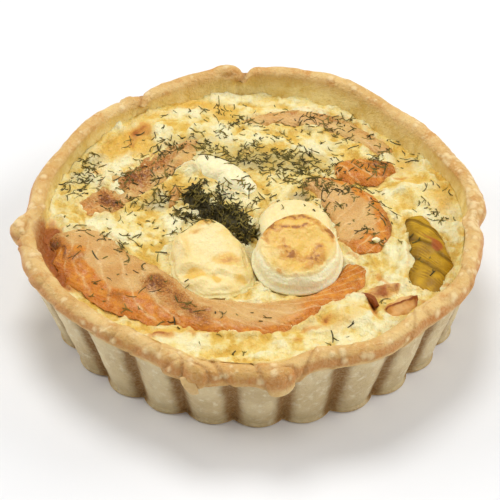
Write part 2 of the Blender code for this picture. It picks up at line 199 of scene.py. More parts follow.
class Value:
    # one socket of a material's tree, so that sums on it add their nodes
    def __init__(self, tree, socket):
        self.tree = tree
        self.socket = socket

    def node(self, kind, settings=None, values=None, out=0):
        made = self.tree.nodes.new(kind)
        for key, value in (settings or {}).items():
            if key == "stops":
                ramp = made.color_ramp
                while len(ramp.elements) < len(value):
                    ramp.elements.new(0.5)
                for element, (place, colour) in zip(ramp.elements, value):
                    element.position = place
                    element.color = (*colour, 1.0)
            else:
                setattr(made, key, value)
        for key, value in (values or {}).items():
            if isinstance(value, Value):
                self.tree.links.new(value.socket, made.inputs[key])
            else:
                made.inputs[key].default_value = value
        return Value(self.tree, made.outputs[out])

    def maths(self, operation, first, second):
        return self.node("ShaderNodeMath", {"operation": operation}, {0: first, 1: second})

    def __add__(self, other):
        return self.maths("ADD", self, other)

    def __radd__(self, other):
        return self.maths("ADD", other, self)

    def __sub__(self, other):
        return self.maths("SUBTRACT", self, other)

    def __rsub__(self, other):
        return self.maths("SUBTRACT", other, self)

    def __mul__(self, other):
        return self.maths("MULTIPLY", self, other)

    def __rmul__(self, other):
        return self.maths("MULTIPLY", other, self)

    def clamped(self):
        return self.node("ShaderNodeClamp", {}, {"Value": self})

    def ranged(self, low, high, start=0.0, end=1.0):
        settings = {"interpolation_type": "SMOOTHSTEP"}
        values = {0: self, 1: low, 2: high, 3: start, 4: end}
        return self.node("ShaderNodeMapRange", settings, values)

    def mask(self, name):
        return self.node("ShaderNodeAttribute", {"attribute_name": name}, {}, "Fac")

    def noise(self, cell, detail=3.0, rough=0.55):
        # noise of a cell size in millimetres
        values = {"Vector": self, "Scale": 1000 / cell, "Detail": detail, "Roughness": rough}
        return self.node("ShaderNodeTexNoise", {}, values, 0)

    def stretched(self, x, y, z, turn=(0, 0, 0)):
        values = {"Vector": self, "Scale": (x, y, z), "Rotation": turn}
        return self.node("ShaderNodeMapping", {}, values)

    def blend(self, under, over):
        # a colour over another, by this value
        values = {0: self, 6: colour(under), 7: colour(over)}
        return self.node("ShaderNodeMix", {"data_type": "RGBA"}, values, 2)


def colour(value):
    return value if isinstance(value, Value) else (*value, 1.0)


def painted(base, tones, shares):
    # lays each tone over the base by its share, in order
    for key, share in shares.items():
        base = share.blend(base, tones[key])
    return base


# how far red, green and blue spread inside a piece, and the roughness of a moist coat
shading = {"spread": (1.0, 0.55, 0.25), "coatRoughness": 0.25}


def newFinish(name, soft, softRadius, coat=0.0, level=0.5):
    # an empty finish: its material, its shader and a value for the piece's own coordinates
    made = bpy.data.materials.new(name)
    made.use_nodes = True
    tree = made.node_tree
    shader = tree.nodes["Principled BSDF"]
    settings = {
        "Subsurface Weight": soft, "Subsurface Radius": shading["spread"],
        "Subsurface Scale": softRadius * mm, "Coat Weight": coat,
        "Coat Roughness": shading["coatRoughness"], "Specular IOR Level": level,
    }
    for key, value in settings.items():
        shader.inputs[key].default_value = value
    place = Value(tree, tree.nodes.new("ShaderNodeTexCoord").outputs["Object"])
    return made, shader, place


def wire(shader, base, rough, height, depth):
    # feeds colour, roughness and a bump of a depth in millimetres into a shader
    tree = base.tree
    tree.links.new(base.socket, shader.inputs["Base Color"])
    tree.links.new(rough.socket, shader.inputs["Roughness"])
    values = {"Height": height, "Distance": depth * mm, "Strength": 1.0}
    tree.links.new(height.node("ShaderNodeBump", {}, values).socket, shader.inputs["Normal"])


# The pastry case

case = {
    "baseRadius": 51, "baseEdge": 1.2, "floor": 3, "wallTop": 23, "wall": 4.2,
    "flutes": 27, "fluteDepth": 2.6, "fluteStart": 1, "columnsPerFlute": 26,
    "overhang": 0.9, "rimDepth": 4.4,
    "rimWidths": (4.4, 5, 5.3, 5.2, 5, 4.8, 4.8, 4.8, 4.5, 4.2, 4.4, 4.4),
    "radii": (56.7, 56, 54.8, 55.2, 57.3, 58.6, 58.8, 58.5, 56.6, 56.4, 56, 56,
              56.6, 58.8, 59, 58.2, 56.8, 58.6, 59, 57.4, 58.6, 57.9, 58.4, 57.1),
    "heights": (26.4, 27, 27.3, 27.2, 26.9, 26.5, 26.2, 25.6, 25, 24.6, 25.2, 25.8),
    "radiusWaves": ((0.3, 11, 0.6),), "heightWaves": ((0.25, 5, 1.1), (0.2, 13, 0)),
    "droop": 0.3, "droopWaves": ((0.3, 7, 2),),
    # shares of the wall's height with a key ring, then how far in and up the tuck under the lip is,
    # and how far in and down each ring over the rim is, with its share of the droop
    "wallShares": (0.06, 0.35, 0.7, 0.97), "tuck": (0.7, 0.5),
    "rimKeys": ((0, 2.3, 0.5), (0.9, 0.7, 0), (2.5, 0, 0), (4.3, 0.8, 0)),
    # angle, half width, rise, reach and droop of each split and fold
    "features": (
        (93.5, 1.8, -2, -1.4, 0), (124.5, 2, -1.3, -0.8, 0), (188, 4, 0.5, 2.6, 0.3),
        (228, 3, -0.5, -0.6, 0), (256.5, 5.2, 0.2, 1.7, 1.2), (276, 4.6, 0.2, 1.9, 2.2),
        (354, 3, -0.6, -1.4, 0)),
    # angle, slant across the rim and depth of each seam where the dough was pressed together
    "seams": (
        (93, 5, 1.5), (124, 7, 1.2), (182, -8, 0.6), (196, 9, 0.7), (207, 7, 0.5), (219, 8, 0.6),
        (233, 9, 0.7), (244, 10, 0.6), (252.5, 9, 0.9), (262, -6, 0.8), (271, -4, 0.8), (283, 7, 0.8),
        (292, 9, 0.5), (311, 10, 0.5), (333, 8, 0.4)),
    # angle, place in the profile, half width, depth and rise of each pressed fold of dough
    "lobes": (
        (250.5, 7.6, 3.2, 1.7, 0.9), (257, 7.2, 2.6, 1.5, 1), (275.5, 7, 3.4, 1.9, 1.1),
        (244, 8.4, 2.8, 1.2, 0.6), (127, 8.6, 3, 1.6, 0.8), (188, 8.2, 3.6, 1.5, 0.7),
        (98, 8.4, 3.6, 1.5, 0.6), (219, 8, 2.6, 1.2, 0.5), (290, 8.6, 2.4, 1, 0.4),
        (232, 8.2, 3, 1.2, 0.5), (207, 8, 3, 1.3, 0.5), (318, 8.4, 3, 1, 0.4)),
    # steps in each gap between the profile's key rings
    "steps": (3, 4, 9, 9, 8, 4, 6, 7, 7, 7, 8, 6, 3, 2),
    "blisters": 150,
    "blisterSpans": ((-14, 24), (0, 360), (180, 360)),  # one of these ranges of angles is drawn
    "blisterRows": (7.2, 10.2), "blisterSizes": (0.45, 0.95), "blisterRise": 0.15,
    "rimLumps": (0.5, 0.17), "wallLumps": (0.3, 0.16),  # height of the broad and of the fine ones
    # angle, distance out from the lip, height and half width along the loose flap at the front
    "curl": {"steps": 30, "around": 16, "thickness": 0.3, "stations": (
        (254.8, 0.2, 22.2, 1.3), (255.9, 0.9, 21, 1.6), (256.8, 1, 19.4, 1.3), (257.1, 0.4, 18, 0.8),
        (256.5, -0.4, 17.2, 0.25))},
    "seed": 5,
}


def turnFrom(angle, centre, slant=0):
    # degrees from a centre to an angle, between -180 and 180
    return (np.degrees(angle) - centre - slant + 180) % 360 - 180


def nearAngle(angle, centre, halfWidth):
    # 1 at the centre angle, falling to 0 either side of it
    return bell(turnFrom(angle, centre), halfWidth)


def waved(value, angle, waves):
    # a value with waves round the rim added: size, number in a turn and start of each
    for size, count, start in waves:
        value = value + size * np.sin(count * angle + start)
    return value


def rimShape(angle):
    # the rim's outer radius, its height and the droop of its lip
    radius = waved(roundTurn(case["radii"], angle), angle, case["radiusWaves"])
    height = waved(roundTurn(case["heights"], angle), angle, case["heightWaves"])
    droop = waved(case["droop"], angle, case["droopWaves"])
    for centre, halfWidth, rise, reach, fall in case["features"]:
        share = nearAngle(angle, centre, halfWidth)
        radius = radius + reach * share
        height = height + rise * share
        droop = droop + fall * share
    return radius, height, droop


def groove(angle):
    # depth of the flutes' V grooves: none at a crest, all of it at a groove
    turn = case["flutes"] * (angle + math.pi / 2 - math.radians(case["fluteStart"])) / 2
    return 1 - np.abs(np.cos(turn)) ** 0.75


def innerRadius(angle, height):
    # the inner wall leans out from the floor to the rim
    top = roundTurn(case["radii"], angle) - roundTurn(case["rimWidths"], angle)
    foot = case["baseRadius"] - case["wall"] - 1.0
    share = np.clip((height - case["floor"]) / (case["wallTop"] - case["floor"]), 0, 1)
    return foot + (top - foot) * share


def ringAt(radius, height, angle):
    # a closed ring of points at a radius and a height, which may vary round it
    radius, height = radius + 0 * angle, height + 0 * angle
    return np.stack([radius * np.cos(angle), radius * np.sin(angle), height], axis=-1)


def caseKeys(angle):
    # key rings from the middle of the foot up the flutes, over the rim and down inside
    base, wallTop, floor = (case[key] for key in ("baseRadius", "wallTop", "floor"))
    radius, height, droop = rimShape(angle)
    cut = groove(angle) * case["fluteDepth"]
    outerTop = height - case["rimDepth"] - droop
    topRadius = roundTurn(case["radii"], angle) - case["overhang"]
    keys = [(base * 0.5, 0), (base - case["baseEdge"] - 0.9 * cut, 0)]
    for share in case["wallShares"]:
        lean = base + (topRadius - base) * share ** 0.9
        keys.append((lean - cut * (1.0 - 0.45 * share ** 3), outerTop * share))
    back, up = case["tuck"]
    keys.append((radius - back, height - case["rimDepth"] + up - droop))
    keys += [(radius - back, height - down - share * droop) for back, down, share in case["rimKeys"]]
    keys += [(innerRadius(angle, level), level) for level in (wallTop, wallTop / 2, floor)]
    keys.append((base * 0.5, floor))
    return np.stack([ringAt(out, level, angle) for out, level in keys])


def caseRelief(points, place, row, angle):
    # movement outwards by lumps, seams, coiled folds and blisters, then the masks of the last three
    x, y, z = points[..., 0], points[..., 1], points[..., 2]
    onRim = step(row, 5.2, 6.2) * (1 - step(row, 10.6, 11.6))
    onWall = step(row, 1.6, 2.4) * (1 - step(row, 4.8, 5.6))
    broad, fine = case["rimLumps"]
    lift = onRim * (broad * roughNoise(x, y, z, 8.0, 3) + fine * roughNoise(x, y, z, 2.4, 8))
    broad, fine = case["wallLumps"]
    lift += onWall * (broad * roughNoise(x, y, z, 7.0, 21) + fine * roughNoise(x, y, z, 2.0, 31))
    across, crease = (row - 6) / 5, 0 * x
    for centre, slant, deep in case["seams"]:
        away = turnFrom(angle[None], centre, slant * (across - 0.5))
        flap = step(away, -0.35, 0.35) * np.exp(-np.maximum(away, 0) / 3.2)
        lift += onRim * deep * (0.8 * flap - 0.5 * bell(away, 0.5))
        # painted shade along each seam's groove
        crease = np.maximum(crease, min(deep, 1) * bell(away - 0.1, 0.45) * onRim)
    for centre, level, halfWidth, deep, rise in case["lobes"]:
        away = turnFrom(angle[None], centre) / halfWidth
        far = np.hypot(away, (row - level) / deep)
        coil = np.arctan2(row - level, away * deep)
        ripple = np.abs(np.sin(2.6 * far - 0.5 * coil + centre)) ** 0.6
        lift += rise * np.exp(-far ** 4) * (0.35 + 0.45 * ripple)
        fold = bell(far - 1.1, 0.12) * step(np.cos(coil + centre), -0.2, 0.6)
        lift -= 0.7 * rise * fold
        # painted shade in the crease of each fold
        crease = np.maximum(crease, 0.8 * rise * fold)
    draw = np.random.default_rng(case["seed"])
    blister, ring, columns = 0 * x, 0 * x, len(angle)
    for _ in range(case["blisters"]):
        turn = math.radians(draw.choice([draw.uniform(*span) for span in case["blisterSpans"]]))
        level = draw.uniform(*case["blisterRows"])
        size = draw.uniform(*case["blisterSizes"])
        column = int(round((turn - angle[0]) / math.tau * columns)) % columns
        centre = points[np.abs(place - level).argmin(), column]
        far = ((points - centre) ** 2).sum(axis=-1)
        blister = np.maximum(blister, bell(far, size ** 2))
        # a ring of painted shade round the foot of each blister
        ring = np.maximum(ring, bell(np.sqrt(far) / size - 1.25, 0.25))
    lift += case["blisterRise"] * blister * onRim
    return lift, blister, np.maximum(0.4 * ring, crease)


def makeCase(finish):
    # a cubic through the key rings, moved outwards by its relief and kept above the table
    columns = case["flutes"] * case["columnsPerFlute"]
    angle = np.linspace(0, math.tau, columns, endpoint=False) + math.radians(case["fluteStart"])
    place = evenly(case["steps"])
    points = carried(caseKeys(angle), place)
    points[..., 2] = np.maximum(points[..., 2], 0)
    x, y, z = points[..., 0], points[..., 1], points[..., 2]
    row = place[:, None] + 0 * x
    lift, blister, ring = caseRelief(points, place, row, angle)
    points = points + outward(points) * lift[..., None]
    points[..., 2] = np.maximum(points[..., 2], 0)
    masks = {
        "wall": step(row, 1.0, 1.8) * (1 - step(row + 0.5 * valueNoise(x, y, z, 3.0, 41), 5.0, 5.9)),
        # cut: the flutes' grooves, browner dough with painted shade added in the groove
        "cut": groove(angle)[None] * (1 - step(row, 5.2, 6.0)),
        "edge": bell(row - 7.3, 0.9),
        "inside": step(row + 0.25 * roughNoise(x, y, z, 5.0, 44), 9.9, 11.2),
        "blister": blister,
        # ring: painted shade in the seams, the folds and round the blisters
        "ring": ring,
        "caramel": step(row, 9.6, 10.6) * nearAngle(angle, 196.0, 15.0)[None],
        # low: painted shade, the outer wall darker towards its foot
        "low": 1 - step(z, 0.0, 9.0),
    }
    settle(layMesh("pastry_case", points, masks), finish, ["case"])


def makeCurl(finish):
    # a thin flap of dough that hangs from the lip: flat ovals along a short path down the wall
    look = case["curl"]
    path = carried(look["stations"], np.linspace(0, len(look["stations"]) - 1, look["steps"]))
    angle, out, height, half = (path[:, k, None] for k in range(4))
    angle = np.radians(angle)
    radius = rimShape(angle)[0] + out
    turn = np.linspace(0, math.tau, look["around"], endpoint=False)[None]
    aside, proud = half * np.cos(turn), look["thickness"] * np.sin(turn)
    x = (radius + proud) * np.cos(angle) - aside * np.sin(angle)
    y = (radius + proud) * np.sin(angle) + aside * np.cos(angle)
    points = np.stack([x, y, height + 0.3 * aside], axis=-1)
    settle(layMesh("pastry_curl", points, {"blister": 0.45 + 0 * x}), finish, [])


pastryTones = {
    "rim": ((0.68, 0.39, 0.115), (0.82, 0.56, 0.22)), "rimPatch": (0.63, 0.30, 0.07),
    "rimFleck": (0.86, 0.64, 0.3), "lip": (0.56, 0.207, 0.043), "crease": (0.46, 0.2, 0.05),
    "blister": (0.9, 0.69, 0.36), "wall": ((0.66, 0.5, 0.265), (0.8, 0.65, 0.38)),
    "wallFleck": (0.9, 0.8, 0.58), "wallFootShade": (0.46, 0.338, 0.158), "groove": (0.28, 0.135, 0.032),
    "inside": ((0.78, 0.53, 0.12), (0.93, 0.74, 0.3)), "caramel": (0.36, 0.099, 0.009),
    # crumb: fine pale flecks over the pastry, a painted sheen
    "crumb": (0.92, 0.75, 0.42),
}


def pastryFinish():
    made, shader, place = newFinish("baked pastry", 0.08, 1.0, level=0.25)
    tones = pastryTones
    broad, middle, fine = place.noise(11.0), place.noise(3.2), place.noise(0.7, 2.0)
    rim = painted(broad.ranged(0.35, 0.68).blend(*tones["rim"]), tones, {
        "rimPatch": middle.ranged(0.5, 0.68),
        "rimFleck": place.noise(1.6, 4.0).ranged(0.54, 0.68) * 0.6,
        "lip": (place.mask("edge") * (middle + broad * 0.9)).ranged(0.42, 0.95) * 0.75,
        # painted shade in the creases and round the blisters
        "crease": place.mask("ring") * 0.75,
        "blister": place.mask("blister") * 0.8,
    })
    pale = painted(broad.ranged(0.35, 0.65).blend(*tones["wall"]), tones, {
        "wallFleck": place.noise(2.0, 6.0, 0.65).ranged(0.52, 0.66) * 0.7,
        # painted shade: the wall darkens towards its foot
        "wallFootShade": place.mask("low") * 0.45,
        # groove: the browner dough deep in each flute, with painted shade in the groove
        "groove": (place.mask("cut") + middle * 0.3 - 0.15).ranged(0.16, 0.66),
    })
    inner = painted(middle.ranged(0.3, 0.7).blend(*tones["inside"]), tones, {
        "caramel": (place.mask("caramel") * (middle + 0.45)).ranged(0.25, 0.7)})
    base = place.mask("inside").blend(place.mask("wall").blend(rim, pale), inner)
    # the crumb share lays a painted sheen of fine pale flecks over all the pastry
    base = painted(base, tones, {"crumb": fine.ranged(0.35, 0.75) * 0.18})
    rough = middle.ranged(0.3, 0.7, 0.36, 0.56)
    wire(shader, base, rough, fine * 0.5 + place.noise(0.3, 2.0) * 0.3 + middle * 0.8, 0.7)
    return made


# The custard

custard = {
    "level": 20.6, "gap": 0.15, "foot": 3.4, "columns": 540, "rings": 165,
    "sideLevels": (8, 13, 17),
    # x, y, rise and spread of each mound, as in the solid
    "mounds": (
        (-24, 36, 3.4, 17, 13), (-46, 6, 1.6, 8, 14), (-2, 16, 1.8, 18, 14), (-6, -47, 1.7, 26, 7),
        (22, -36, 2.8, 8.5, 6.5), (42, 12, 2.2, 8, 9), (30, 41, -0.9, 12, 10)),
    # small lumps: centre, half sizes, turn and rise
    "lumps": (
        (29, -16.5, 2, 4, 10, 1.2), (32.5, -15, 1.4, 4.5, 5, 1.1), (30.5, -27, 2.6, 1.7, 20, 1.4),
        (33.8, -26, 1.5, 1.5, 0, 1), (37, 12, 8, 1.5, -50, 0.8), (42, 6, 7, 1.6, -38, 0.8),
        (46, 10, 2, 5, 20, 0.6), (-36, 28, 5, 4, 30, 0.5), (25.5, -38, 4, 3, 20, 0.8),
        (19, -37.5, 3, 2.4, 0, 0.7), (-8, -43.5, 9, 1.6, -4, 0.6), (8, -44, 4, 2, 8, 0.6),
        (28, -33.6, 0.7, 3, 12, -1.6), (-50, -12, 2.4, 7, -12, -0.8), (-46, -20, 1.8, 5, 38, -1.2),
        (-27, 9, 6, 1.6, 42, 1.5), (-37.5, 13, 3.6, 1.5, -47, 1.9), (-25, 23.5, 4, 1.2, 42, 1.5),
        (36.4, -13, 0.9, 6, 0, 1.2), (35.2, -20, 0.8, 4, 10, 1.1), (-17, 19, 5, 1.6, 45, 0.9),
        (10, 37.5, 8, 1.4, 0, 0.9), (26, 29, 5, 1.4, -45, 0.9), (15, 5, 1.6, 5, 10, 0.8)),
    "gold": (
        (-16.5, 47, 5, 3.5, 0, 1), (-9, 44, 4, 4, 0, 0.8), (-25, 41, 5, 2.5, 0, 0.5),
        (-36, 27.5, 6, 5, 30, 0.9), (-29, 27, 5, 3, 0, 0.8), (-40, 18, 3, 4, 0, 0.6),
        (-30, 34, 6, 5, 60, 0.7), (46.5, 6, 3.5, 8, 0, 0.8), (38, 22, 5, 4, -30, 0.9),
        (41, 14, 4, 3, 0, 0.5), (-20, -42, 10, 2.2, -5, 0.9), (2, -45, 10, 2.4, 0, 0.5),
        (17, -39.5, 6, 3.5, 0, 0.8), (25, -35, 5, 4, 0, 0.5), (13, 24, 7, 4, 0, 0.7),
        (34, -41, 3, 2, 30, 0.6), (-33, -32, 8, 1.8, -42, 0.7), (29, 34, 4, 3, 0, 0.5),
        (-24, 12, 4, 4, 0, 0.6), (-20, 3, 3, 3, 0, 0.4)),
    "brown": (
        (-51, -8.5, 2.6, 6, -8, 1.7), (-49.3, -16.5, 2, 5, 18, 1.6), (-45.5, -23.5, 1.8, 4, 35, 1.2),
        (45.5, -27, 1.2, 3, 30, 0.9), (40.5, -31.5, 3, 1.4, -35, 0.8), (-30.4, 33, 2.2, 4.2, -15, 1),
        (-32, 27, 1.8, 1.8, 0, 0.5), (-21.8, -43.6, 2.8, 1.4, -10, 1.1), (-15, -43.4, 2, 0.9, -10, 0.7),
        (9.7, -45.2, 2.4, 1.1, 0, 0.6), (16.8, -39.2, 2.4, 1.5, 10, 0.9),
        (12.5, -41.8, 2.6, 1, 15, 0.6), (29.6, -27.2, 2.6, 1.6, 20, 1.2),
        (33.8, -25.8, 1.5, 1.6, 0, 0.9), (37.2, 15.5, 2.6, 1.6, 0, 0.7), (-40, 17.5, 1, 1.8, 0, 0.6),
        (24, -14, 1.6, 3, 20, 0.5), (28.2, -33.4, 0.9, 3.4, 10, 1.4), (31, -22, 1, 3, 0, 0.7),
        (-27, 30, 2.5, 1.4, 20, 0.4)),
    "moss": (
        (0, 23, 15, 7, 0, 0.85), (-18, 29, 9, 5, 20, 0.5), (-25, 6, 7, 6, 0, 0.4),
        (-45, 17, 3, 6, 20, 0.7), (-41, 24, 4, 4, 0, 0.6), (16, 22, 9, 6, 0, 0.4),
        (-4, 42, 9, 4, 0, 0.45), (40, 24, 5, 5, 0, 0.5), (21, 32, 7, 3, 0, 0.4),
        (-12, -1, 4, 4, 0, 0.5), (12, 9, 5, 4, 0, 0.5)),
    "grey": (
        (-24, 5, 4, 3, 0, 0.8), (11, 9, 4, 3.5, 0, 0.9), (-10, 31, 10, 1.8, 0, 0.5),
        (-1, 20, 6, 3, 0, 0.5), (33, 1, 3, 3, 0, 0.3), (-16, -9, 3, 4, 0, 0.35)),
}


def custardTop(x, y):
    # the baked level, its mounds and a gentle ripple, as in the solid
    height = custard["level"] + 0.22 * np.sin(x / 5.3 + 0.8) * np.cos(y / 4.6)
    for centreX, centreY, rise, spreadX, spreadY in custard["mounds"]:
        away = -(((x - centreX) / spreadX) ** 2) - ((y - centreY) / spreadY) ** 2
        height = height + rise * np.exp(away)
    return height


def makeCustard(finish, cover):
    # rings from the foot up the side, then in to the middle over the baked top
    angle = np.linspace(0, math.tau, custard["columns"], endpoint=False)
    side = innerRadius(angle, custard["level"])
    edge = custardTop(side * np.cos(angle), side * np.sin(angle))
    side = innerRadius(angle, edge) + custard["gap"]
    rows = [ringAt(innerRadius(angle, custard["foot"]) - 0.4, custard["foot"], angle)]
    rows += [ringAt(innerRadius(angle, level) - 0.1, level, angle) for level in custard["sideLevels"]]
    rows.append(ringAt(side, edge - 0.8, angle))
    share = 1 - np.linspace(0, 1, custard["rings"], endpoint=False)
    radius = side[None] * share[:, None]
    x, y = radius * np.cos(angle), radius * np.sin(angle)
    z = custardTop(x, y)
    fromWall = side[None] - radius
    creep = np.exp(-fromWall / 1.3) * (0.5 + 1.1 * roughNoise(x, y, z, 4.0, 51))
    near = cover(x, y)
    shore = 4 * near * (1 - near)
    bank = shore * (0.55 + 0.75 * planNoise(x, y, 3.5, 55, 2))
    big, small = (planNoise(x, y, cell, seed, 2) for cell, seed in ((4.4, 63), (1.9, 67)))
    grain = 0.6 * planNoise(x, y, 7.5, 61, 2) + 0.6 * step(big, 0.0, 0.22) + 0.34 * step(small, 0.0, 0.3)
    grain = grain - 0.35 + 0.16 * planNoise(x, y, 0.9, 71, 2)
    crease = -0.35 * bell(planNoise(x, y, 9.0, 75, 2), 0.05)
    grain = grain + crease * step(fromWall, 1.0, 3.0)
    z = z + creep + bank + grain + spots(x, y, custard["lumps"])
    top = np.stack([x, y, z], axis=-1)
    points = np.concatenate([np.stack(rows), top])
    placeX, placeY = strayed(points[..., 0], points[..., 1], 1.6, 3.0, 81)
    masks = {key: spots(placeX, placeY, custard[key]) for key in ("gold", "brown", "moss", "grey")}
    onSide = 0 * placeX[: len(rows)]
    masks["high"] = np.concatenate([0.5 + onSide, grain * 0.7 + 0.5])
    masks["shore"] = np.concatenate([onSide, shore])
    settle(layMesh("custard_filling", points, masks), finish, ["custard"])
    return top


custardTones = {
    "ramp": ((0.25, (0.76, 0.46, 0.07)), (0.39, (0.86, 0.61, 0.16)), (0.51, (0.9, 0.72, 0.28)),
             (0.64, (0.93, 0.79, 0.38)), (0.80, (0.95, 0.86, 0.5))),
    "shore": (0.78, 0.40, 0.06), "fleck": (0.66, 0.36, 0.07), "gold": (0.83, 0.498, 0.083),
    "moss": (0.47, 0.35, 0.1), "grey": (0.47, 0.385, 0.223), "brown": (0.74, 0.329, 0.05),
    "burnt": (0.42, 0.122, 0.018),
}


def custardFinish():
    made, shader, place = newFinish("baked custard", 0.15, 1.2, coat=0.12, level=0.25)
    broad, middle, fine = place.noise(10.0, 2.0), place.noise(3.0, 4.0, 0.6), place.noise(1.0, 4.0, 0.6)
    cream = broad + middle * 0.9 + fine * 0.4 + place.mask("high") * 0.55 - 0.87
    base = cream.node("ShaderNodeValToRGB", {"stops": custardTones["ramp"]}, {"Fac": cream})
    brown = place.mask("brown") * (0.45 + middle * 0.6 + fine * 0.5)
    base = painted(base, custardTones, {
        "shore": (place.mask("shore") * (fine + middle - 0.35)).ranged(0.35, 0.95) * 0.6,
        "fleck": fine.ranged(0.66, 0.76) * 0.5,
        "gold": (place.mask("gold") * (0.55 + middle * 0.9)).ranged(0.18, 1.0),
        "moss": (place.mask("moss") * (0.4 + middle * 1.1)).ranged(0.15, 1.0) * 0.85,
        "grey": (place.mask("grey") * (0.4 + middle)).ranged(0.15, 0.9) * 0.7,
        "brown": brown.ranged(0.22, 0.6) * 0.75,
        "burnt": brown.ranged(0.5, 1.1),
    })
    rough = middle.ranged(0.35, 0.7, 0.34, 0.55)
    wire(shader, base, rough, fine * 0.9 + middle * 0.8 + place.noise(0.35, 2.0) * 0.3, 0.8)
    return made


# Slices of salmon and other strips that lie on the custard

def sliceGrid(look):
    # stations carried along a cubic path; each section is a crowned top and a flat underside
    stations, thickness, steps, half = (look[key] for key in ("stations", "thickness", "steps", "across"))
    path = carried(stations, np.linspace(0, len(stations) - 1, steps))
    ahead = np.gradient(path[:, :2], axis=0)
    ahead /= np.linalg.norm(ahead, axis=1, keepdims=True)
    left = np.stack([-ahead[:, 1], ahead[:, 0]], axis=-1)
    over = np.sin(np.linspace(math.pi / 2, -math.pi / 2, half))
    under = np.linspace(-0.96, 0.96, half // 3)
    side = np.concatenate([over, under])[None]
    onTop = np.concatenate([np.ones(half), np.zeros(half // 3)])[None]
    ridge = look.get("ridge", 0) * ((1 + side) / 2) ** 3
    crown = thickness * (0.14 + 0.86 * (1 - np.abs(side) ** 3.5)) + ridge
    along = np.linspace(-1, 1, steps)[:, None]
    taper = 0.55 + 0.45 * (1 - along ** 6)
    x, y = (path[:, None, k] + left[:, None, k] * side * path[:, None, 2] for k in (0, 1))
    push = look["fray"] * planNoise(x, y, 3.0, 91) * np.abs(side) ** 3
    x, y = x + left[:, None, 0] * side * push, y + left[:, None, 1] * side * push
    z = custardTop(x, y) + crown * taper * onTop + look.get("lift", -0.25)
    return x, y, z, (along + 1) / 2 + 0 * x, side + 0 * x, onTop + 0 * x


# for each slice its stations (x, y and half width), the turns of its fat lines along and across it,
# and its browned patches
salmon = {
    "front": {"steps": 300, "across": 64, "thickness": 2.2, "fray": 1.3, "fat": (14, 1.7), "stations": (
        (-50, -7, 2.2), (-43.5, -10.5, 7.8), (-36.5, -19.5, 9.2), (-27.2, -27.6, 9.4), (-16, -34.2, 7),
        (-4, -37, 6.3), (6.5, -36, 5.3), (15.6, -31.4, 3.6), (21.4, -25.4, 3.5), (24.6, -18.2, 3.2)),
        "burnt": ((-49, -9.5, 1.2, 3, 30, 1.3), (-46.5, -14, 0.7, 4, 32, 1.1),
                  (-23.6, -25.6, 3, 2.6, 0, 1.3), (-19, -30.6, 6.5, 3.4, -52, 1.15),
                  (-13.5, -37, 4.5, 2.2, -45, 1.1), (-33, -30, 3.5, 1.2, -40, 0.9),
                  (-47.5, -11.5, 1.6, 3.5, 10, 0.9), (-43, -16, 1.2, 5, 25, 0.7),
                  (25.8, -17.5, 1.8, 2.2, 0, 0.8), (24, -24.5, 3.5, 1, 45, 0.6)),
        "bump": (-23.8, -25, 1.5, 1.9, 2), "sunkStart": 1.2},
    "right": {"steps": 150, "across": 60, "thickness": 2.2, "ridge": 0.3, "fray": 0.9, "fat": (7, 1.1),
              "stations": ((12.5, 13.5, 2), (18, 11.3, 4.3), (23.5, 5.8, 6.8), (26.2, -1.5, 7.2),
                           (27, -7.6, 6.2), (27.4, -13.4, 3.6)),
              "burnt": ((33.2, -3, 1.5, 5.5, 10, 1.2),)},
    "tip": {"steps": 90, "across": 48, "thickness": 2.2, "ridge": 0.4, "fray": 1.4, "fat": (3, 1.5),
            "stations": ((20.5, 19.4, 2.4), (25.2, 19, 5), (30.5, 19, 4.6), (35.2, 20.6, 1.8)),
            "burnt": ((31, 21, 4.5, 1.8, 0, 1.1), (33, 18.5, 3, 1.6, 0, 0.7))},
    "back": {"steps": 150, "across": 40, "thickness": 1.8, "fray": 1.8, "lift": -0.7, "fat": (3, 2.2),
             "stations": ((-3, 39.5, 1.6), (5, 42.3, 2.9), (14, 42.4, 3.5), (23, 38.8, 3.4),
                          (30, 32.6, 2.8), (34.8, 26.8, 1.5)),
             "burnt": ((8, 44.8, 8, 1.2, 4, 0.7), (21, 41.5, 5, 1.3, -25, 0.8))},
    "left": {"steps": 200, "across": 60, "thickness": 1.7, "ridge": 0.4, "fray": 3, "lift": -0.7,
             "fat": (5, 2), "stations": ((-42.4, 1.4, 2.2), (-39.2, 5.6, 4.4), (-33, 11.6, 5.6),
                                         (-26.5, 17.6, 5.4), (-20.3, 24.2, 4), (-14.6, 30.4, 1.8)),
             "burnt": ((-38, 7, 3.4, 4, 40, 1.2), (-30.5, 15.5, 5, 3.4, 42, 1.6),
                       (-24, 21.5, 4, 2.4, 40, 0.9), (-35, 5, 4, 1.4, -35, 1.2),
                       (-18, 27, 3, 2, 45, 0.6))},
    "flake": {"steps": 40, "across": 24, "thickness": 2.2, "fray": 0.3, "fat": (2, 1), "burnt": (),
              "stations": ((-20.9, 4.4, 0.7), (-20.3, 8.2, 1.1), (-19.8, 11.8, 0.6))},
}


def orangeShare(key, along, side, warp):
    # where each slice is moist and orange: at one edge, towards an end, or faintly all over
    if key == "front":
        orange = step(-side + 0.28 * warp, -0.15, 0.55) * (1 - 0.55 * step(along, 0.42, 0.6))
        return np.maximum(orange + step(along, 0.62, 0.85), step(-side, 0.45, 0.95))
    if key == "right":
        return np.maximum(step(side + 0.2 * warp, 0.2, 0.75), step(along + 0.1 * warp, 0.72, 0.9))
    if key == "tip":
        return 0.75 + 0.25 * step(along, 0.1, 0.5)
    if key == "back":
        return 0.55 * step(side + 0.2 * warp, 0.55, 0.95) + 0.35 * step(along, 0.75, 1.0)
    if key == "left":
        return 0.5 * step(along, 0.1, 0.5) * step(-side, 0.1, 0.8) + 0.6 * (1 - step(along, 0.05, 0.3))
    return 0.4 + 0 * side


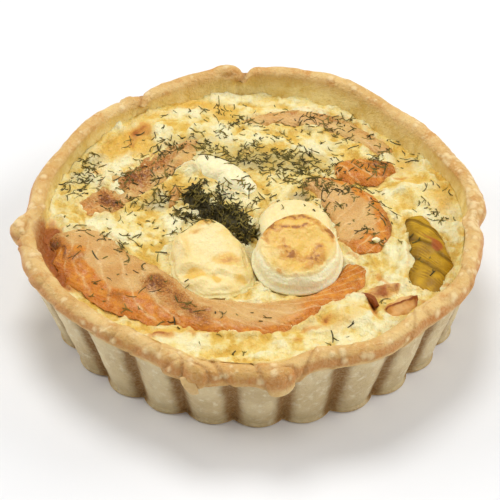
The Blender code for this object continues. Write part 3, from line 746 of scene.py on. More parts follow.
def makeSlice(key, finish):
    # a slice with its fat lines, its browned patches and its moist orange band as masks
    look = salmon[key]
    x, y, z, along, side, top = sliceGrid(look)
    phase = along * look["fat"][0] + side * look["fat"][1] + 0.9 * planNoise(x, y, 8.0, 101)
    fat = lines(phase, 0.07) * (1 - step(np.abs(side), 0.75, 0.98))
    orange = orangeShare(key, along, side, 2.2 * planNoise(x, y, 5.0, 111, 2))
    burnt = spots(*strayed(x, y, 1.8, 2.4, 121), look["burnt"])
    lift = 0.35 * planNoise(x, y, 4.5, 131) + 0.12 * planNoise(x, y, 1.2, 141, 2)
    lift = lift - 0.10 * fat + 0.35 * np.clip(burnt, 0, 1) * (0.5 + planNoise(x, y, 1.6, 151, 2))
    milky = 0 * x
    if key == "front":
        centreX, centreY, sizeX, sizeY, rise = look["bump"]
        far = np.hypot((x - centreX) / sizeX, (y - centreY) / sizeY)
        lift = lift + rise * np.exp(-far ** 1.3) - look["sunkStart"] * (1 - step(along, 0.02, 0.12))
    if key == "back":
        milky = 0.5 * step(planNoise(x, y, 5.0, 157, 2), -0.1, 0.3)
    if key == "left":
        lift = lift + 0.9 * planNoise(x, y, 2.4, 155) - 0.5 * step(planNoise(x, y, 6.0, 156, 2), 0.0, 0.4)
        milky = 0.5 * step(planNoise(x, y, 4.0, 159) + 0.25 * np.abs(side), 0.0, 0.35)
    masks = {"orange": np.clip(orange, 0, 1), "fat": fat * top, "burnt": burnt, "milky": milky,
             "rind": step(np.abs(side), 0.86, 1.0) + (1 - top)}
    points = np.stack([x, y, z + lift * top], axis=-1)
    settle(layMesh("salmon_slice_" + key, points, masks), finish, ["salmon_" + key])
    return points[:, : look["across"]]


salmonTones = {
    "pale": ((0.66, 0.33, 0.085), (0.76, 0.45, 0.15)),
    "orange": ((0.62, 0.18, 0.007), (0.77, 0.285, 0.016)), "milky": (0.78, 0.564, 0.18),
    "fat": (0.88, 0.62, 0.28), "fleck": (0.88, 0.583, 0.238), "brown": (0.58, 0.2, 0.025),
    "burnt": (0.34, 0.105, 0.016), "rind": (0.5, 0.16, 0.022),
}


def salmonFinish():
    made, shader, place = newFinish("baked salmon", 0.12, 1.4, coat=0.2, level=0.35)
    broad, middle, fine = place.noise(6.0), place.noise(2.0), place.noise(0.55)
    pale = broad.ranged(0.35, 0.65).blend(*salmonTones["pale"])
    orange = middle.ranged(0.35, 0.7).blend(*salmonTones["orange"])
    base = (place.mask("orange") * (0.7 + middle * 0.6)).ranged(0.25, 0.85).blend(pale, orange)
    speck = place.noise(0.5, 2.0).ranged(0.38, 0.62)
    burnt = place.mask("burnt") * (middle * 0.8 + speck * 0.75 + 0.1)
    base = painted(base, salmonTones, {
        "milky": place.mask("milky") * 0.85,
        "fat": (place.mask("fat") * (middle * 1.4 + fine * 1.2 - 0.8)).clamped(),
        "fleck": fine.ranged(0.5, 0.75) * 0.25,
        "brown": burnt.ranged(0.2, 0.65) * 0.8,
        "burnt": burnt.ranged(0.7, 1.45),
        "rind": place.mask("rind") * 0.35,
    })
    fibre = place.stretched(1.0, 1.0, 1.0, (0, 0, 0.7)).stretched(0.35, 2.2, 1.0).noise(1.1)
    rough = middle.ranged(0.3, 0.7, 0.24, 0.42)
    wire(shader, base, rough, fine * 0.8 + fibre * 0.9 + place.mask("burnt") * fine * 1.5, 0.6)
    return made


# Rounds of goat's cheese

cheese = {
    "columns": 180, "lift": 0.3,
    "right": {"centre": (10.2, -18.5), "radii": (10.1, 10.8, 11.2, 10.3, 10.2, 9.9, 9.5, 9.8),
              "thickness": 4.8, "tilt": 0.16, "headTilt": 0.11,
              "frontFoot": 21.9, "front": 10, "sunk": 0.3, "skinEnd": 3.55},
    "under": {"centre": (10, -4.8), "radii": (8.6, 9.8, 10.2, 9.8, 9, 8.6, 9, 9), "thickness": 2.6,
              "pressedWithin": 11.5},
    # the left lump: its melted tier, the step up from it and the rise of its face to a peak
    "left": {"centre": (-10, -18),
             "radii": (9.4, 8.6, 9.6, 12.6, 11.8, 12.2, 9.6, 9.4, 9.8, 10.6, 11.4, 11),
             "lower": 1.4, "cliff": 0.9, "stepFront": -22.3, "stepSlant": 0.19,
             "climb": 3.2, "climbFrom": -22, "climbOver": 14, "peak": ((-12.6, -6.6, 3.2, 3.6, 0, 1.3),),
             "ragged": (10, 12),
             "split": ((-2.6, -15, 0.5, 5, 8, 1),),
             "blobs": ((-7.2, -26.2, 2.3, 1.9, 0, 1), (-13, -25, 1.6, 1.2, 0, 0.6)),
             "crags": ((-18.4, -13, 1.2, 4.5, 25, 0.7), (-15.5, -20, 3, 1.2, -10, 0.4),
                       (-4, -21, 3, 1, -8, 0.4))},
    "back": {"steps": 120, "across": 50, "thickness": 2.1, "fray": 0.9, "stations": (
        (-14.6, 22, 2.2), (-9.4, 18.2, 3.9), (-4.2, 13.2, 3.6), (-0.6, 8.6, 1.8))},
    "crumb": {"place": (29.5, -10.1), "sizes": (0.95, 0.75, 0.7), "around": 28, "rows": 16, "pole": 0.15},
    # share of the radius and of the height, from the middle of the top to that of the foot
    "profile": (
        (0.02, 1), (0.35, 1), (0.68, 0.96), (0.87, 0.84), (0.98, 0.56), (1.02, 0.22), (1.05, -0.12),
        (0.4, -0.15)),
    "steps": (14, 20, 14, 12, 12, 5, 3),
    "goldRight": (
        (9, -12, 6, 3.5, 0, 0.9), (12, -17, 5, 3, 0, 0.6), (4, -15, 3, 4, 0, 0.7),
        (9.5, -23, 5, 2.5, 0, 0.7), (15.5, -20, 3, 3, 0, 0.6)),
    "brownRight": (
        (3.2, -11.6, 3.6, 1.5, 35, 2.2), (8, -9.4, 4, 1, 3, 1.8), (13.5, -10.4, 3, 0.9, -28, 1.3),
        (18.6, -14.4, 1.5, 2.2, 30, 2.4), (8, -13.4, 4, 0.7, -4, 1.6), (12.5, -13, 2.5, 0.6, 15, 1.2),
        (2, -15, 1.6, 2.6, 20, 1), (8.6, -21.4, 2.2, 1.6, -20, 1.8), (13.6, -22.6, 2.2, 1.8, 10, 1.9),
        (15.8, -19.4, 1.6, 1.6, 0, 1.2), (4.6, -26.4, 1.3, 1.1, 0, 1.8), (6.5, -18.2, 1.4, 2.4, 30, 0.9)),
    "goldLeft": (
        (-12.4, -6.6, 2.4, 2, 0, 1.1), (-14.4, -23, 2.6, 1.5, -10, 1.4), (-9, -24.2, 1.8, 1.2, 0, 1.2),
        (-6.6, -18.6, 3.4, 1.6, 8, 1.1), (-14.6, -11, 3, 1.2, 0, 0.7), (-3, -24.5, 2, 1.4, 0, 0.8),
        (-17, -15, 1.5, 4, 20, 0.5)),
    "brownLeft": (
        (-6.2, -18.8, 2.4, 0.9, 8, 0.9), (-14.5, -11.2, 1.8, 0.7, 10, 0.7),
        (-11.6, -6.2, 1.8, 1.8, 0, 0.9)),
}


def onCustard(x, y):
    return custardTop(x, y) + cheese["lift"]


def rightFoot(x, y):
    # the right round leans on the one behind it, so its foot rises towards the back
    look = cheese["right"]
    behind = y - look["centre"][1] + look["front"]
    return look["frontFoot"] + look["tilt"] * behind + 0 * x - look["sunk"]


def rightHead(x, y):
    # the head is steeper than the foot, so the round is thicker at its back
    look = cheese["right"]
    behind = y - look["centre"][1]
    return rightFoot(x, y) + look["sunk"] + look["thickness"] + look["headTilt"] * behind


def underHead(x, y):
    # the round behind is pressed flat where the right one leans on it
    look = cheese["under"]
    centreX, centreY = cheese["right"]["centre"]
    openTop = onCustard(x, y) + look["thickness"]
    pressed = np.minimum(openTop, rightFoot(x, y) + 0.1)
    return np.where(np.hypot(x - centreX, y - centreY) < look["pressedWithin"], pressed, openTop)


def behindStep(x, y):
    # how far a place lies behind the left lump's step
    look = cheese["left"]
    return y - look["stepFront"] + look["stepSlant"] * (x - look["centre"][0])


def leftHead(x, y):
    # the left lump steps up from its melted tier and its face climbs to a peak at its back
    look = cheese["left"]
    tier = step(behindStep(x, y) + 1.8 * planNoise(x, y, 4.0, 209, 2), -1.0, 1.0)
    slope = np.clip((y - look["climbFrom"]) / look["climbOver"], 0, 1)
    height = onCustard(x, y) + look["lower"] + look["cliff"] * tier + look["climb"] * slope
    return height + spots(x, y, look["peak"])


def roundGrid(look, foot, head):
    # key rings between a foot and a head surface, from the middle of the top round to the foot
    angle = np.linspace(0, math.tau, cheese["columns"], endpoint=False)
    reach = roundTurn(look["radii"], angle)
    place = evenly(cheese["steps"])
    profile = carried(cheese["profile"], place)
    share, level = profile[:, :1], np.minimum(profile[:, 1:], 1)
    x = look["centre"][0] + share * reach * np.cos(angle)
    y = look["centre"][1] + share * reach * np.sin(angle)
    low = foot(x, y)
    z = low + (head(x, y) - low) * level
    return x, y, z, share + 0 * x, place[:, None] + 0 * x


def rightRound():
    # wrinkled by a swirl and noise on top; its browned skin ends in an uneven edge near the rim
    x, y, z, _, row = roundGrid(cheese["right"], rightFoot, rightHead)
    centreX, centreY = cheese["right"]["centre"]
    turn = np.arctan2(y - centreY, x - centreX)
    far = np.hypot(x - centreX, y - centreY)
    swirl = np.sin(far * 0.8 - 1.6 * turn + 3.4 * planNoise(x, y, 5.0, 161, 1))
    wrinkle = 0.2 * swirl + 0.9 * planNoise(x, y, 3.4, 171) + 0.25 * planNoise(x, y, 1.4, 173)
    fromEdge = row - cheese["right"]["skinEnd"] - 0.4 * planNoise(x, y, 3.6, 165, 1)
    fromEdge = fromEdge + 0.5 * step(-turn, 0.0, 0.8) * step(-turn, -1.6, -0.8)
    skin = 1 - step(fromEdge, -0.75, 0.15)
    wrinkle = wrinkle + 0.2 * bell(fromEdge + 0.25, 0.2) - 0.12 * bell(fromEdge - 0.1, 0.12)
    z = z + (1 - step(row, 3.6, 4.4)) * (0.7 * wrinkle * step(far, 0.0, 2.0) + 0.05 * skin) - 0.2
    points = np.stack([x, y, z], axis=-1)
    body = 0.35 * roughNoise(x, y, z, 3.8, 181) * step(row, 2.8, 4.0) * (1 - step(row, 5.8, 6.6))
    points = points - outward(points) * body[..., None]
    placeX, placeY = strayed(x, y, 1.5, 2.2, 191)
    brown = spots(placeX, placeY, cheese["brownRight"]) + 0.12 * step(swirl, 0.4, 1.0)
    brown = brown + 0.6 * bell(fromEdge + 0.12, 0.14) * step(turn, -0.6, 0.6)
    # past the skin's edge the cheese is unbrowned, and its side is made lighter as painted light against
    # its shade
    return points, {"gold": (0.34 + 1.3 * spots(placeX, placeY, cheese["goldRight"])) * skin,
                    "brown": brown * (0.1 + 0.9 * skin), "bare": step(fromEdge, -0.3, 0.4)}


def underRound():
    # lightly uneven, with a few golden patches
    x, y, z, _, row = roundGrid(cheese["under"], onCustard, underHead)
    z = z + (1 - step(row, 3.0, 4.0)) * 0.3 * planNoise(x, y, 4.0, 201)
    gold = 0.25 * step(planNoise(x, y, 6.0, 205), 0.0, 0.6)
    return np.stack([x, y, z], axis=-1), {"gold": gold, "brown": 0 * x, "bare": 0.3 + 0 * x}


def leftLump():
    # broad facets, a split, two blobs and crags; the melted tier is lumpier than the face
    look = cheese["left"]
    x, y, z, share, row = roundGrid(look, onCustard, leftHead)
    facets = np.abs(planNoise(x, y, 8.0, 213, 2)) - 0.25
    tier = 1 - step(behindStep(x, y), -1.0, 1.0)
    z = z + (1 - step(row, 3.6, 4.6)) * tier * 0.8 * planNoise(x, y, 4.2, 219, 2)
    relief = 0.8 * facets + 0.08 * planNoise(x, y, 1.6, 215) - 1.4 * spots(x, y, look["split"])
    relief = relief + 0.6 * spots(x, y, look["blobs"]) + spots(x, y, look["crags"])
    z = z + (1 - step(row, 3.0, 4.0)) * relief
    ragged = 1.2 * planNoise(x, y, 5.4, 217) * step(share, 0.5, 0.9)
    (centreX, centreY), (reachX, reachY) = look["centre"], look["ragged"]
    x, y = x + ragged * (x - centreX) / reachX, y + ragged * (y - centreY) / reachY
    placeX, placeY = strayed(x, y, 1.0, 2.2, 221)
    masks = {"gold": spots(placeX, placeY, cheese["goldLeft"]) * 1.3,
             "brown": spots(placeX, placeY, cheese["brownLeft"]), "bare": 0 * x}
    return np.stack([x, y, z], axis=-1), masks


def backPiece():
    # a broken piece, higher along one side
    x, y, z, _, side, top = sliceGrid(cheese["back"])
    z = z + top * (1.4 * planNoise(x, y, 4.6, 231, 2) + 0.5 * step(side, -0.3, 0.5) - 0.2)
    gold = 0.5 * step(side, 0.2, 1.0) * step(planNoise(x, y, 4.0, 235), -0.1, 0.5)
    return np.stack([x, y, z], axis=-1), {"gold": gold, "brown": 0 * x, "bare": 0.8 + 0 * x}


def makeRounds(finish):
    grids = []
    pieces = (("right", rightRound), ("under", underRound), ("left", leftLump), ("back", backPiece))
    for key, shape in pieces:
        points, masks = shape()
        settle(layMesh("goats_cheese_" + key, points, masks), finish, ["cheese_" + key])
        grids.append(points)
    return grids


def makeCrumb(finish, height):
    # a small broken crumb: a ball pushed in and out by noise, resting on the food under it
    look = cheese["crumb"]
    turn = np.linspace(0, math.tau, look["around"], endpoint=False)[None]
    polar = np.linspace(look["pole"], math.pi - look["pole"], look["rows"])[:, None]
    centreX, centreY = look["place"]
    sizeX, sizeY, sizeZ = look["sizes"]
    floor = height(np.array([centreX]), np.array([centreY]))[0]
    x, y, z = np.sin(polar) * np.cos(turn), np.sin(polar) * np.sin(turn), np.cos(polar) + 0 * turn
    size = 1 + 0.45 * roughNoise(x, y, z, 0.8, 237, 2)
    points = np.stack([centreX + sizeX * size * x, centreY + sizeY * size * y,
                       floor + sizeZ * (0.7 + size * z)], axis=-1)
    masks = {"gold": 0 * x, "brown": 0 * x, "bare": 1 + 0 * x}
    settle(layMesh("cheese_crumb", points, masks), finish, [])


cheeseTones = {
    "base": ((0.83, 0.61, 0.2), (0.88, 0.715, 0.33)), "light": (0.9, 0.77, 0.41),
    # the unbrowned tone is lighter than the cheese, painted light for the shaded side of the right round
    "bare": (0.95, 0.87, 0.55), "gold": (0.8, 0.49, 0.085), "brown": (0.66, 0.31, 0.045),
    "burnt": (0.38, 0.145, 0.02),
}


def cheeseFinish():
    made, shader, place = newFinish("baked goat's cheese", 0.3, 1.8, coat=0.15, level=0.35)
    broad, middle, fine = place.noise(7.0), place.noise(2.2), place.noise(0.6)
    brown = place.mask("brown") * (place.noise(1.2).ranged(0.35, 0.65) * 0.7 + middle * 0.9)
    base = painted(broad.ranged(0.35, 0.65).blend(*cheeseTones["base"]), cheeseTones, {
        "light": middle.ranged(0.5, 0.7) * 0.5,
        # unbrowned cheese, lightened as painted light where the side is in shade
        "bare": place.mask("bare"),
        "gold": (place.mask("gold") * (0.6 + middle * 0.8)).ranged(0.25, 1.0) * 0.9,
        "brown": brown.ranged(0.18, 0.62) * 0.85,
        "burnt": brown.ranged(0.7, 1.45),
    })
    rough = middle.ranged(0.3, 0.7, 0.28, 0.5)
    wire(shader, base, rough, fine * 0.35 + middle * 0.8, 0.6)
    return made


# Leek and onion

vegetables = {
    "leek": {"steps": 260, "across": 84, "thickness": 2.4, "ridge": 0.3, "fray": 1.3, "stations": (
        (39.6, -0.6, 2.6), (41.4, -8, 4.3), (42.4, -17, 5.2), (40.2, -26.6, 4.6)),
        "leaves": (12.5, 17.6, 22.4), "gaps": (12.3, 17.4, 22.2), "slant": (0.64, 0.77), "ribPitch": 8.6,
        "red": ((44.3, -12, 1.4, 1.8, 30, 1.6), (42, -9, 3, 0.6, -35, 0.7))},
    "chip": {"steps": 70, "across": 40, "thickness": 1.5, "ridge": 0.8, "fray": 1.2, "stations": (
        (31.2, -36.2, 1.6), (34.4, -33.4, 2.7), (38.4, -30.2, 1.3))},
    "streak": {"steps": 60, "across": 30, "thickness": 1.6, "fray": 1, "stations": (
        (25.2, -28.4, 0.8), (27.2, -30.6, 1.2), (28.8, -33.4, 0.7))},
    # the light tone, the deep one and the browned one
    "leekTones": ((0.57, 0.325, 0.012), (0.31, 0.155, 0.004), (0.36, 0.09, 0.012)),
    "onionTones": ((0.72, 0.42, 0.15), (0.6, 0.27, 0.06), (0.26, 0.065, 0.01)),
}


def makeLeek(finish):
    # layers of leaf, each with fine ribs that run slantwise across the strip
    look = vegetables["leek"]
    x, y, z, _, side, top = sliceGrid(look)
    towardsX, towardsY = look["slant"]
    slant = towardsX * x + towardsY * y + 1.5 * planNoise(x, y, 6.0, 241, 2)
    ribs = np.sin(slant * look["ribPitch"]) * step(planNoise(x, y, 2.6, 243, 2), -0.15, 0.4)
    layers = sum(step(slant, level, level + 0.35) for level in look["leaves"])
    dark = sum(bell(slant - level, 0.5) for level in look["gaps"])
    z = z + top * (0.05 * ribs + 0.4 * layers - 0.7 + 0.5 * planNoise(x, y, 4.0, 251, 2))
    dark = dark + 0.6 * step(-side + 0.5 * planNoise(x, y, 3.0, 253, 2), 0.5, 1.0)
    masks = {"ribs": ribs * 0.35 + 0.4 + 0.5 * planNoise(x, y, 2.2, 255, 2), "dark": dark,
             "burnt": spots(x, y, look["red"])}
    points = np.stack([x, y, z], axis=-1)
    settle(layMesh("leek_piece", points, masks), finish, ["leek"])
    return points


def makeOnion(key, finish):
    # a thin crumpled leaf; the chip has a browned fold along it
    x, y, z, along, side, top = sliceGrid(vegetables[key])
    z = z + top * (0.7 * planNoise(x, y, 2.0, 261, 2) + 0.05 * np.sin(side * 11 + 2 * along))
    burnt = 1.2 + 0 * x
    if key == "chip":
        fold = bell(side - 0.5 + 0.5 * along, 0.14)
        z = z + top * (0.7 * fold - 0.5 * step(0.4 - 0.5 * along - side, 0.0, 0.5))
        burnt = 1.3 * fold + 0.9 * step(-side, 0.75, 1.0) + 0.9 * step(along, 0.7, 0.95)
    masks = {"ribs": 0.5 + planNoise(x, y, 1.6, 265, 2), "dark": 0.4 * (1 - top), "burnt": burnt}
    points = np.stack([x, y, z], axis=-1)
    settle(layMesh("onion_" + key + "_piece", points, masks), finish, ["onion_" + key])
    return points


def vegetableFinish(name, light, deep, burntColour):
    made, shader, place = newFinish(name, 0.05, 1.0, level=0.2)
    middle, fine = place.noise(2.4), place.noise(0.6)
    base = (place.mask("ribs") * 0.5 + middle * 0.6).ranged(0.25, 0.85).blend(deep, light)
    dull = tuple(0.45 * channel for channel in deep)
    base = (place.mask("dark") * 0.7).clamped().blend(base, dull)
    burnt = (place.mask("burnt") * (0.4 + middle * 0.6 + fine * 0.4)).ranged(0.3, 0.95)
    base = burnt.blend(base, burntColour)
    wire(shader, base, middle.ranged(0.3, 0.7, 0.3, 0.5), fine * 0.5 + middle * 0.4, 0.35)
    return made


# Dill

dill = {
    "clump": {"steps": 110, "across": 50, "thickness": 1.3, "fray": 1.6, "stations": (
        (-16, 10.4, 1.6), (-14.2, 5.8, 3.1), (-11.6, 2, 2.6), (-7.6, -0.6, 3.3), (-4.2, -4.6, 2.2),
        (-1.4, -8.2, 1))},
    "clumpShreds": 1500,
    "seed": 23,
    "shreds": 1300, "triesPerShred": 14, "spread": 50,
    # least and further length and width, of the strewn shreds and of those in the heap
    "lengths": (0.7, 2.9), "widths": (0.2, 0.22), "heapLengths": (1.0, 2.4), "heapWidths": (0.28, 0.3),
    # share of fronds with a twig at each side and the twig's least and further turn, then how far the
    # fork is from the middle and the twig's length, bend and width, as shares of the frond's own
    "forked": 0.3, "twigTurns": (0.5, 0.4), "forkPlace": 0.1,
    "twigLength": 0.55, "twigBend": 0.5, "twigWidth": 0.75,
    # x, y, half sizes, turn and share of each patch with dill; less than 0 keeps a place clear
    "patches": (
        (1, 22, 17, 8, 0, 1), (-16, 30, 10, 6, 20, 0.4), (-44, 17, 4, 9, -10, 0.7),
        (-27, 17, 12, 5, 42, 0.5), (-6, 42, 8, 5, 0, 0.5), (20, 38, 12, 5, -20, 0.45),
        (42, 26, 6, 6, -40, 0.6), (22, 8, 7, 7, 0, 0.6), (12, 11, 4, 4, 0, 0.8),
        (-20, 0, 12, 9, 0, 0.3), (-12, -4, 5, 5, 0, 0.5), (29, 20, 6, 5, 0, 0.4),
        (-8, 12, 9, 6, -40, 0.7), (0, -38, 14, 3, 0, 0.12), (-36, -14, 14, 8, 0, 0.08),
        (46, 2, 5, 8, 0, 0.15), (24, -4, 6, 8, 0, 0.15), (10, -19, 11, 11, 0, -1.2),
        (-12, -14, 6, 6, 0, -0.6), (-8.5, 16, 8, 5.5, -38, -1.15), (-22, 6, 5, 5, 0, 0.35),
        (-19, -3, 4, 5, 0, 0.4)),
    "everywhere": 0.035, "deepest": 3,
    "barStations": 5,
    "tones": ((0.04, 0.03, 0.005), (0.24, 0.185, 0.035)),
}
planHalf = 62.0  # half the width of the plan grids under the dill and the custard


def cellAt(x, y, cells):
    # line and column of a plan grid's cell at a place
    size = 2 * planHalf / cells
    return tuple(np.clip(((value + planHalf) / size).astype(int), 0, cells - 1) for value in (y, x))


def neighbours(grid):
    return [np.roll(grid, shift, axis=axis) for axis in (0, 1) for shift in (-1, 1)]


def topOf(grids):
    # height of the food over a fine plan grid, from the highest point in each cell
    cells = 420
    size = 2 * planHalf / cells
    top = np.full((cells, cells), -1.0)
    for points in grids:
        fine = points
        for axis in (0, 1):
            between = (fine + np.roll(fine, -1, axis=axis)) / 2
            if axis == 0:
                between = between[:-1]
            fine = np.concatenate([fine, between], axis=axis)
        np.maximum.at(top, cellAt(fine[..., 0], fine[..., 1], cells), fine[..., 2])
    for _ in range(3):
        top = np.where(top < 0, np.max(neighbours(top), axis=0), top)

    def height(x, y):
        column = np.clip((x + planHalf) / size - 0.5, 0, cells - 2)
        line = np.clip((y + planHalf) / size - 0.5, 0, cells - 2)
        left, low = np.floor(column).astype(int), np.floor(line).astype(int)
        partX, partY = column - left, line - low
        upper = top[low + 1, left] * (1 - partX) + top[low + 1, left + 1] * partX
        lower = top[low, left] * (1 - partX) + top[low, left + 1] * partX
        return lower * (1 - partY) + upper * partY
    return height


def coverOf(grids):
    # a soft map of where toppings lie, so that the custard banks up against them
    cells = 300
    mask = np.zeros((cells, cells))
    for points in grids:
        mask[cellAt(points[..., 0], points[..., 1], cells)] = 1
    for _ in range(6):
        mask = (mask + sum(neighbours(mask))) / 5
    return lambda x, y: mask[cellAt(x, y, cells)]


def makeShreds(name, strands, height, finish):
    # each strand is a bent, tapering four-sided bar; the strands are rows of one array
    stations = dill["barStations"]
    share = np.linspace(-0.5, 0.5, stations)
    x, y, heading, length, bend, width, tilt, lift, shade = strands
    turn = heading[:, None] + bend[:, None] * share
    placeX = x[:, None] + length[:, None] * share * np.cos(turn)
    placeY = y[:, None] + length[:, None] * share * np.sin(turn)
    middle = height(placeX, placeY)
    centre = middle[:, stations // 2, None]
    slope = (middle[:, -1:] - middle[:, :1]).clip(-0.9, 0.9) * share[None]
    middle = centre + slope + (middle - centre - slope).clip(-0.12, 0.25)
    middle = middle + lift[:, None] + tilt[:, None] * share
    half = width[:, None] * (0.5 - 0.3 * np.abs(share))
    acrossX, acrossY = -np.sin(turn) * half, np.cos(turn) * half
    rise = half * 0.75
    ring = np.stack([
        np.stack([placeX + acrossX, placeY + acrossY, middle - 0.1], axis=-1),
        np.stack([placeX, placeY, middle - rise - 0.1], axis=-1),
        np.stack([placeX - acrossX, placeY - acrossY, middle - 0.1], axis=-1),
        np.stack([placeX, placeY, middle + rise], axis=-1),
    ], axis=2)
    index = np.arange(len(x) * stations * 4).reshape(len(x), stations, 4)
    after = np.roll(index, -1, axis=2)
    sides = np.stack([index[:, :-1], after[:, :-1], after[:, 1:], index[:, 1:]], axis=-1).reshape(-1, 4)
    ends = np.concatenate([index[:, 0, ::-1], index[:, -1]])
    mesh = bpy.data.meshes.new(name)
    mesh.from_pydata((ring.reshape(-1, 3) * mm).tolist(), [], sides.tolist() + ends.tolist())
    layer = mesh.attributes.new("shade", "FLOAT", "POINT")
    layer.data.foreach_set("value", np.repeat(shade, stations * 4).astype(np.float32))
    settle(placed(name, mesh), finish, [])


def strewDill(finish, height):
    # fronds drawn at random, kept by the share of dill at their place, each with up to two twigs
    draw = np.random.default_rng(dill["seed"])
    tries = dill["shreds"] * dill["triesPerShred"]
    radius = dill["spread"] * np.sqrt(draw.random(tries))
    angle = draw.random(tries) * math.tau
    x, y = radius * np.cos(angle), radius * np.sin(angle)
    share = np.clip(dill["everywhere"] + spots(x, y, dill["patches"]), 0, 1)
    clustered = step(planNoise(x, y, 3.0, 271, 2), -0.25, 0.45)
    kept = np.flatnonzero(draw.random(tries) < share * (0.15 + 1.0 * clustered))[: dill["shreds"]]
    x, y = x[kept], y[kept]
    count = len(x)
    heading = draw.random(count) * math.tau
    least, further = dill["lengths"]
    length = least + further * draw.random(count) ** 2.2
    bend = draw.normal(0, 0.4, count)
    least, further = dill["widths"]
    width = least + further * draw.random(count)
    shade = draw.random(count)
    lift = 0.05 + 0.12 * draw.random(count) ** 2
    tilt = draw.normal(0, 0.12, count)
    rows = [np.stack([x, y, heading, length, bend, width, tilt, lift, shade])]
    least, further = dill["twigTurns"]
    for side in (1, -1):
        forked = draw.random(count) < dill["forked"]
        turn = heading + side * (least + further * draw.random(count))
        reach = length * dill["twigLength"]
        alongX = x + dill["forkPlace"] * length * np.cos(heading) + 0.5 * reach * np.cos(turn)
        alongY = y + dill["forkPlace"] * length * np.sin(heading) + 0.5 * reach * np.sin(turn)
        twigBend, twigWidth = bend * dill["twigBend"], width * dill["twigWidth"]
        twig = np.stack([alongX, alongY, turn, reach, twigBend, twigWidth, tilt, lift, shade])
        rows.append(twig[:, forked])
    rows = np.concatenate(rows, axis=1)
    rows = rows[:, height(rows[0], rows[1]) > custard["level"] - dill["deepest"]]
    makeShreds("dill_shreds", rows, height, finish)


def makeClump(finish, height):
    # a dark uneven core with strands heaped over it at all headings
    look = dill["clump"]
    x, y, z, _, _, top = sliceGrid(look)
    z = z + top * 1.2 * planNoise(x, y, 2.8, 287, 2)
    core = np.stack([x, y, z], axis=-1)
    settle(layMesh("dill_clump_core", core, {"shade": 0.1 + 0 * x}), finish, ["dill_clump"])
    draw = np.random.default_rng(dill["seed"] + 1)
    count = dill["clumpShreds"]
    path = carried(look["stations"], draw.random(count) * (len(look["stations"]) - 1))
    aside = draw.normal(0, 0.8, count) * (path[:, 2] + 0.5)
    x = path[:, 0] + 0.7 * aside + draw.normal(0, 0.7, count)
    y = path[:, 1] + 0.7 * aside + draw.normal(0, 0.7, count)
    heading = draw.random(count) * math.tau
    tuft = planNoise(x, y, 2.8, 287, 2)
    least, further = dill["heapLengths"]
    length = least + further * draw.random(count) ** 1.5
    shade = draw.random(count) ** 2.5 * 1.1
    lift = draw.random(count) ** 1.5 * 1.5 * bell(aside, path[:, 2]) + 0.9 * tuft.clip(0, 1)
    least, further = dill["heapWidths"]
    width = least + further * draw.random(count)
    bend, tilt = draw.normal(0, 1.1, count), draw.normal(0, 0.9, count)
    kept = tuft > draw.normal(-0.05, 0.12, count)
    over = topOf([core])
    strands = np.stack([x, y, heading, length, bend, width, tilt, lift, shade])[:, kept]
    makeShreds("dill_heap", strands, lambda x, y: np.maximum(height(x, y), over(x, y)), finish)
    return core


def dillFinish():
    made, shader, place = newFinish("baked dill", 0.0, 1.0, level=0.3)
    fine = place.noise(0.6)
    base = (place.mask("shade") * 0.8 + fine * 0.3).ranged(0.1, 0.9).blend(*dill["tones"])
    wire(shader, base, fine.ranged(0.3, 0.7, 0.45, 0.7), fine, 0.2)
    return made


# Camera, light and floor

view = {
    "distance": 520, "elevation": 41, "focalPixels": 2040, "frame": 500, "sensor": 36,
    "originX": 255, "originY": 283,  # where the middle of the foot falls in the frame
    "clip": (0.01, 20),
}


def setCamera():
    # looks from the distance and elevation, turned so that the foot's middle falls where it should
    tilt = math.radians(view["elevation"])
    ahead = Vector((0, math.cos(tilt), -math.sin(tilt)))
    above = Vector((0, math.sin(tilt), math.cos(tilt)))
    shiftX = (view["originX"] - view["frame"] / 2) / view["focalPixels"]
    shiftY = (view["originY"] - view["frame"] / 2) / view["focalPixels"]
    aim = ahead + above * shiftY - Vector((1, 0, 0)) * shiftX
    lens = bpy.data.cameras.new("camera")
    lens.sensor_width = view["sensor"]
    lens.lens = view["focalPixels"] / view["frame"] * view["sensor"]
    lens.clip_start, lens.clip_end = view["clip"]
    camera = placed("camera", lens)
    camera.location = ahead * -view["distance"] * mm
    camera.rotation_euler = aim.to_track_quat("-Z", "Y").to_euler()
    bpy.context.scene.camera = camera


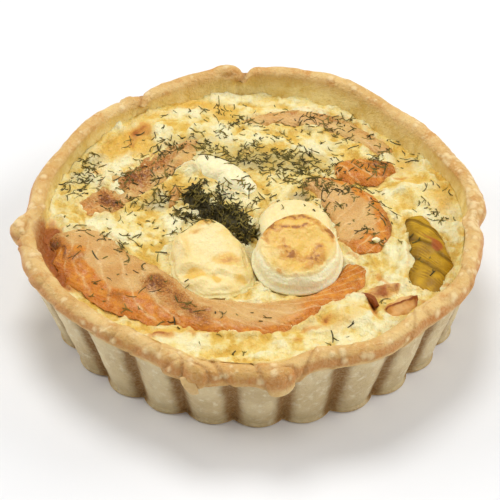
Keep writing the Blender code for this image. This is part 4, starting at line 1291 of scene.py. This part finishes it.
studio = {
    "floor": 3, "floorDrop": 0.2, "floorTone": (0.86, 0.86, 0.86), "floorRoughness": 0.9, "world": 0.33,
    # place, size and power of each soft light
    "lights": (("left", (-0.75, 0.15, 0.45), 0.5, 2.8), ("right", (0.8, 0.2, 0.5), 0.5, 3.2),
               ("above", (-0.1, 0.35, 0.95), 0.45, 4.7), ("front", (0.6, -0.55, 0.75), 0.6, 2.7)),
}


def setStudio():
    # a square floor just under the foot, four soft lights that face the middle, and an even world
    half = studio["floor"] / 2
    mesh = bpy.data.meshes.new("floor")
    corners = [(-half, -half, 0), (half, -half, 0), (half, half, 0), (-half, half, 0)]
    mesh.from_pydata(corners, [], [(0, 1, 2, 3)])
    floor = placed("floor", mesh)
    floor.location.z = -studio["floorDrop"] * mm
    paint, shader, _ = newFinish("floor", 0.0, 1.0)
    shader.inputs["Base Color"].default_value = (*studio["floorTone"], 1)
    shader.inputs["Roughness"].default_value = studio["floorRoughness"]
    mesh.materials.append(paint)
    for name, place, size, power in studio["lights"]:
        lamp = bpy.data.lights.new(name, "AREA")
        lamp.shape, lamp.size, lamp.energy = "DISK", size, power
        made = placed(name, lamp)
        made.location = place
        made.rotation_euler = (-Vector(place)).to_track_quat("-Z", "Y").to_euler()
    world = bpy.data.worlds.new("studio")
    world.use_nodes = True
    sky = world.node_tree.nodes["Background"]
    sky.inputs["Color"].default_value = (1, 1, 1, 1)
    sky.inputs["Strength"].default_value = studio["world"]
    bpy.context.scene.world = world
    bpy.context.scene.view_settings.view_transform = "Standard"


setCamera()
setStudio()
print("camera and light")

pastry = pastryFinish()
makeCase(pastry)
makeCurl(pastry)
salmonSkin = salmonFinish()
grids = [makeSlice(key, salmonSkin) for key in ("front", "right", "tip", "back", "left", "flake")]
print("salmon")
cheeseSkin = cheeseFinish()
grids += makeRounds(cheeseSkin)
print("cheese")
grids.append(makeLeek(vegetableFinish("baked leek", *vegetables["leekTones"])))
onionSkin = vegetableFinish("browned onion", *vegetables["onionTones"])
grids += [makeOnion(key, onionSkin) for key in ("chip", "streak")]
print("leek and onion")
grids.append(makeCustard(custardFinish(), coverOf(grids)))
green = dillFinish()
print("custard")
makeCrumb(cheeseSkin, topOf(grids))
grids.append(makeClump(green, topOf(grids)))
strewDill(green, topOf(grids))
print("dill")
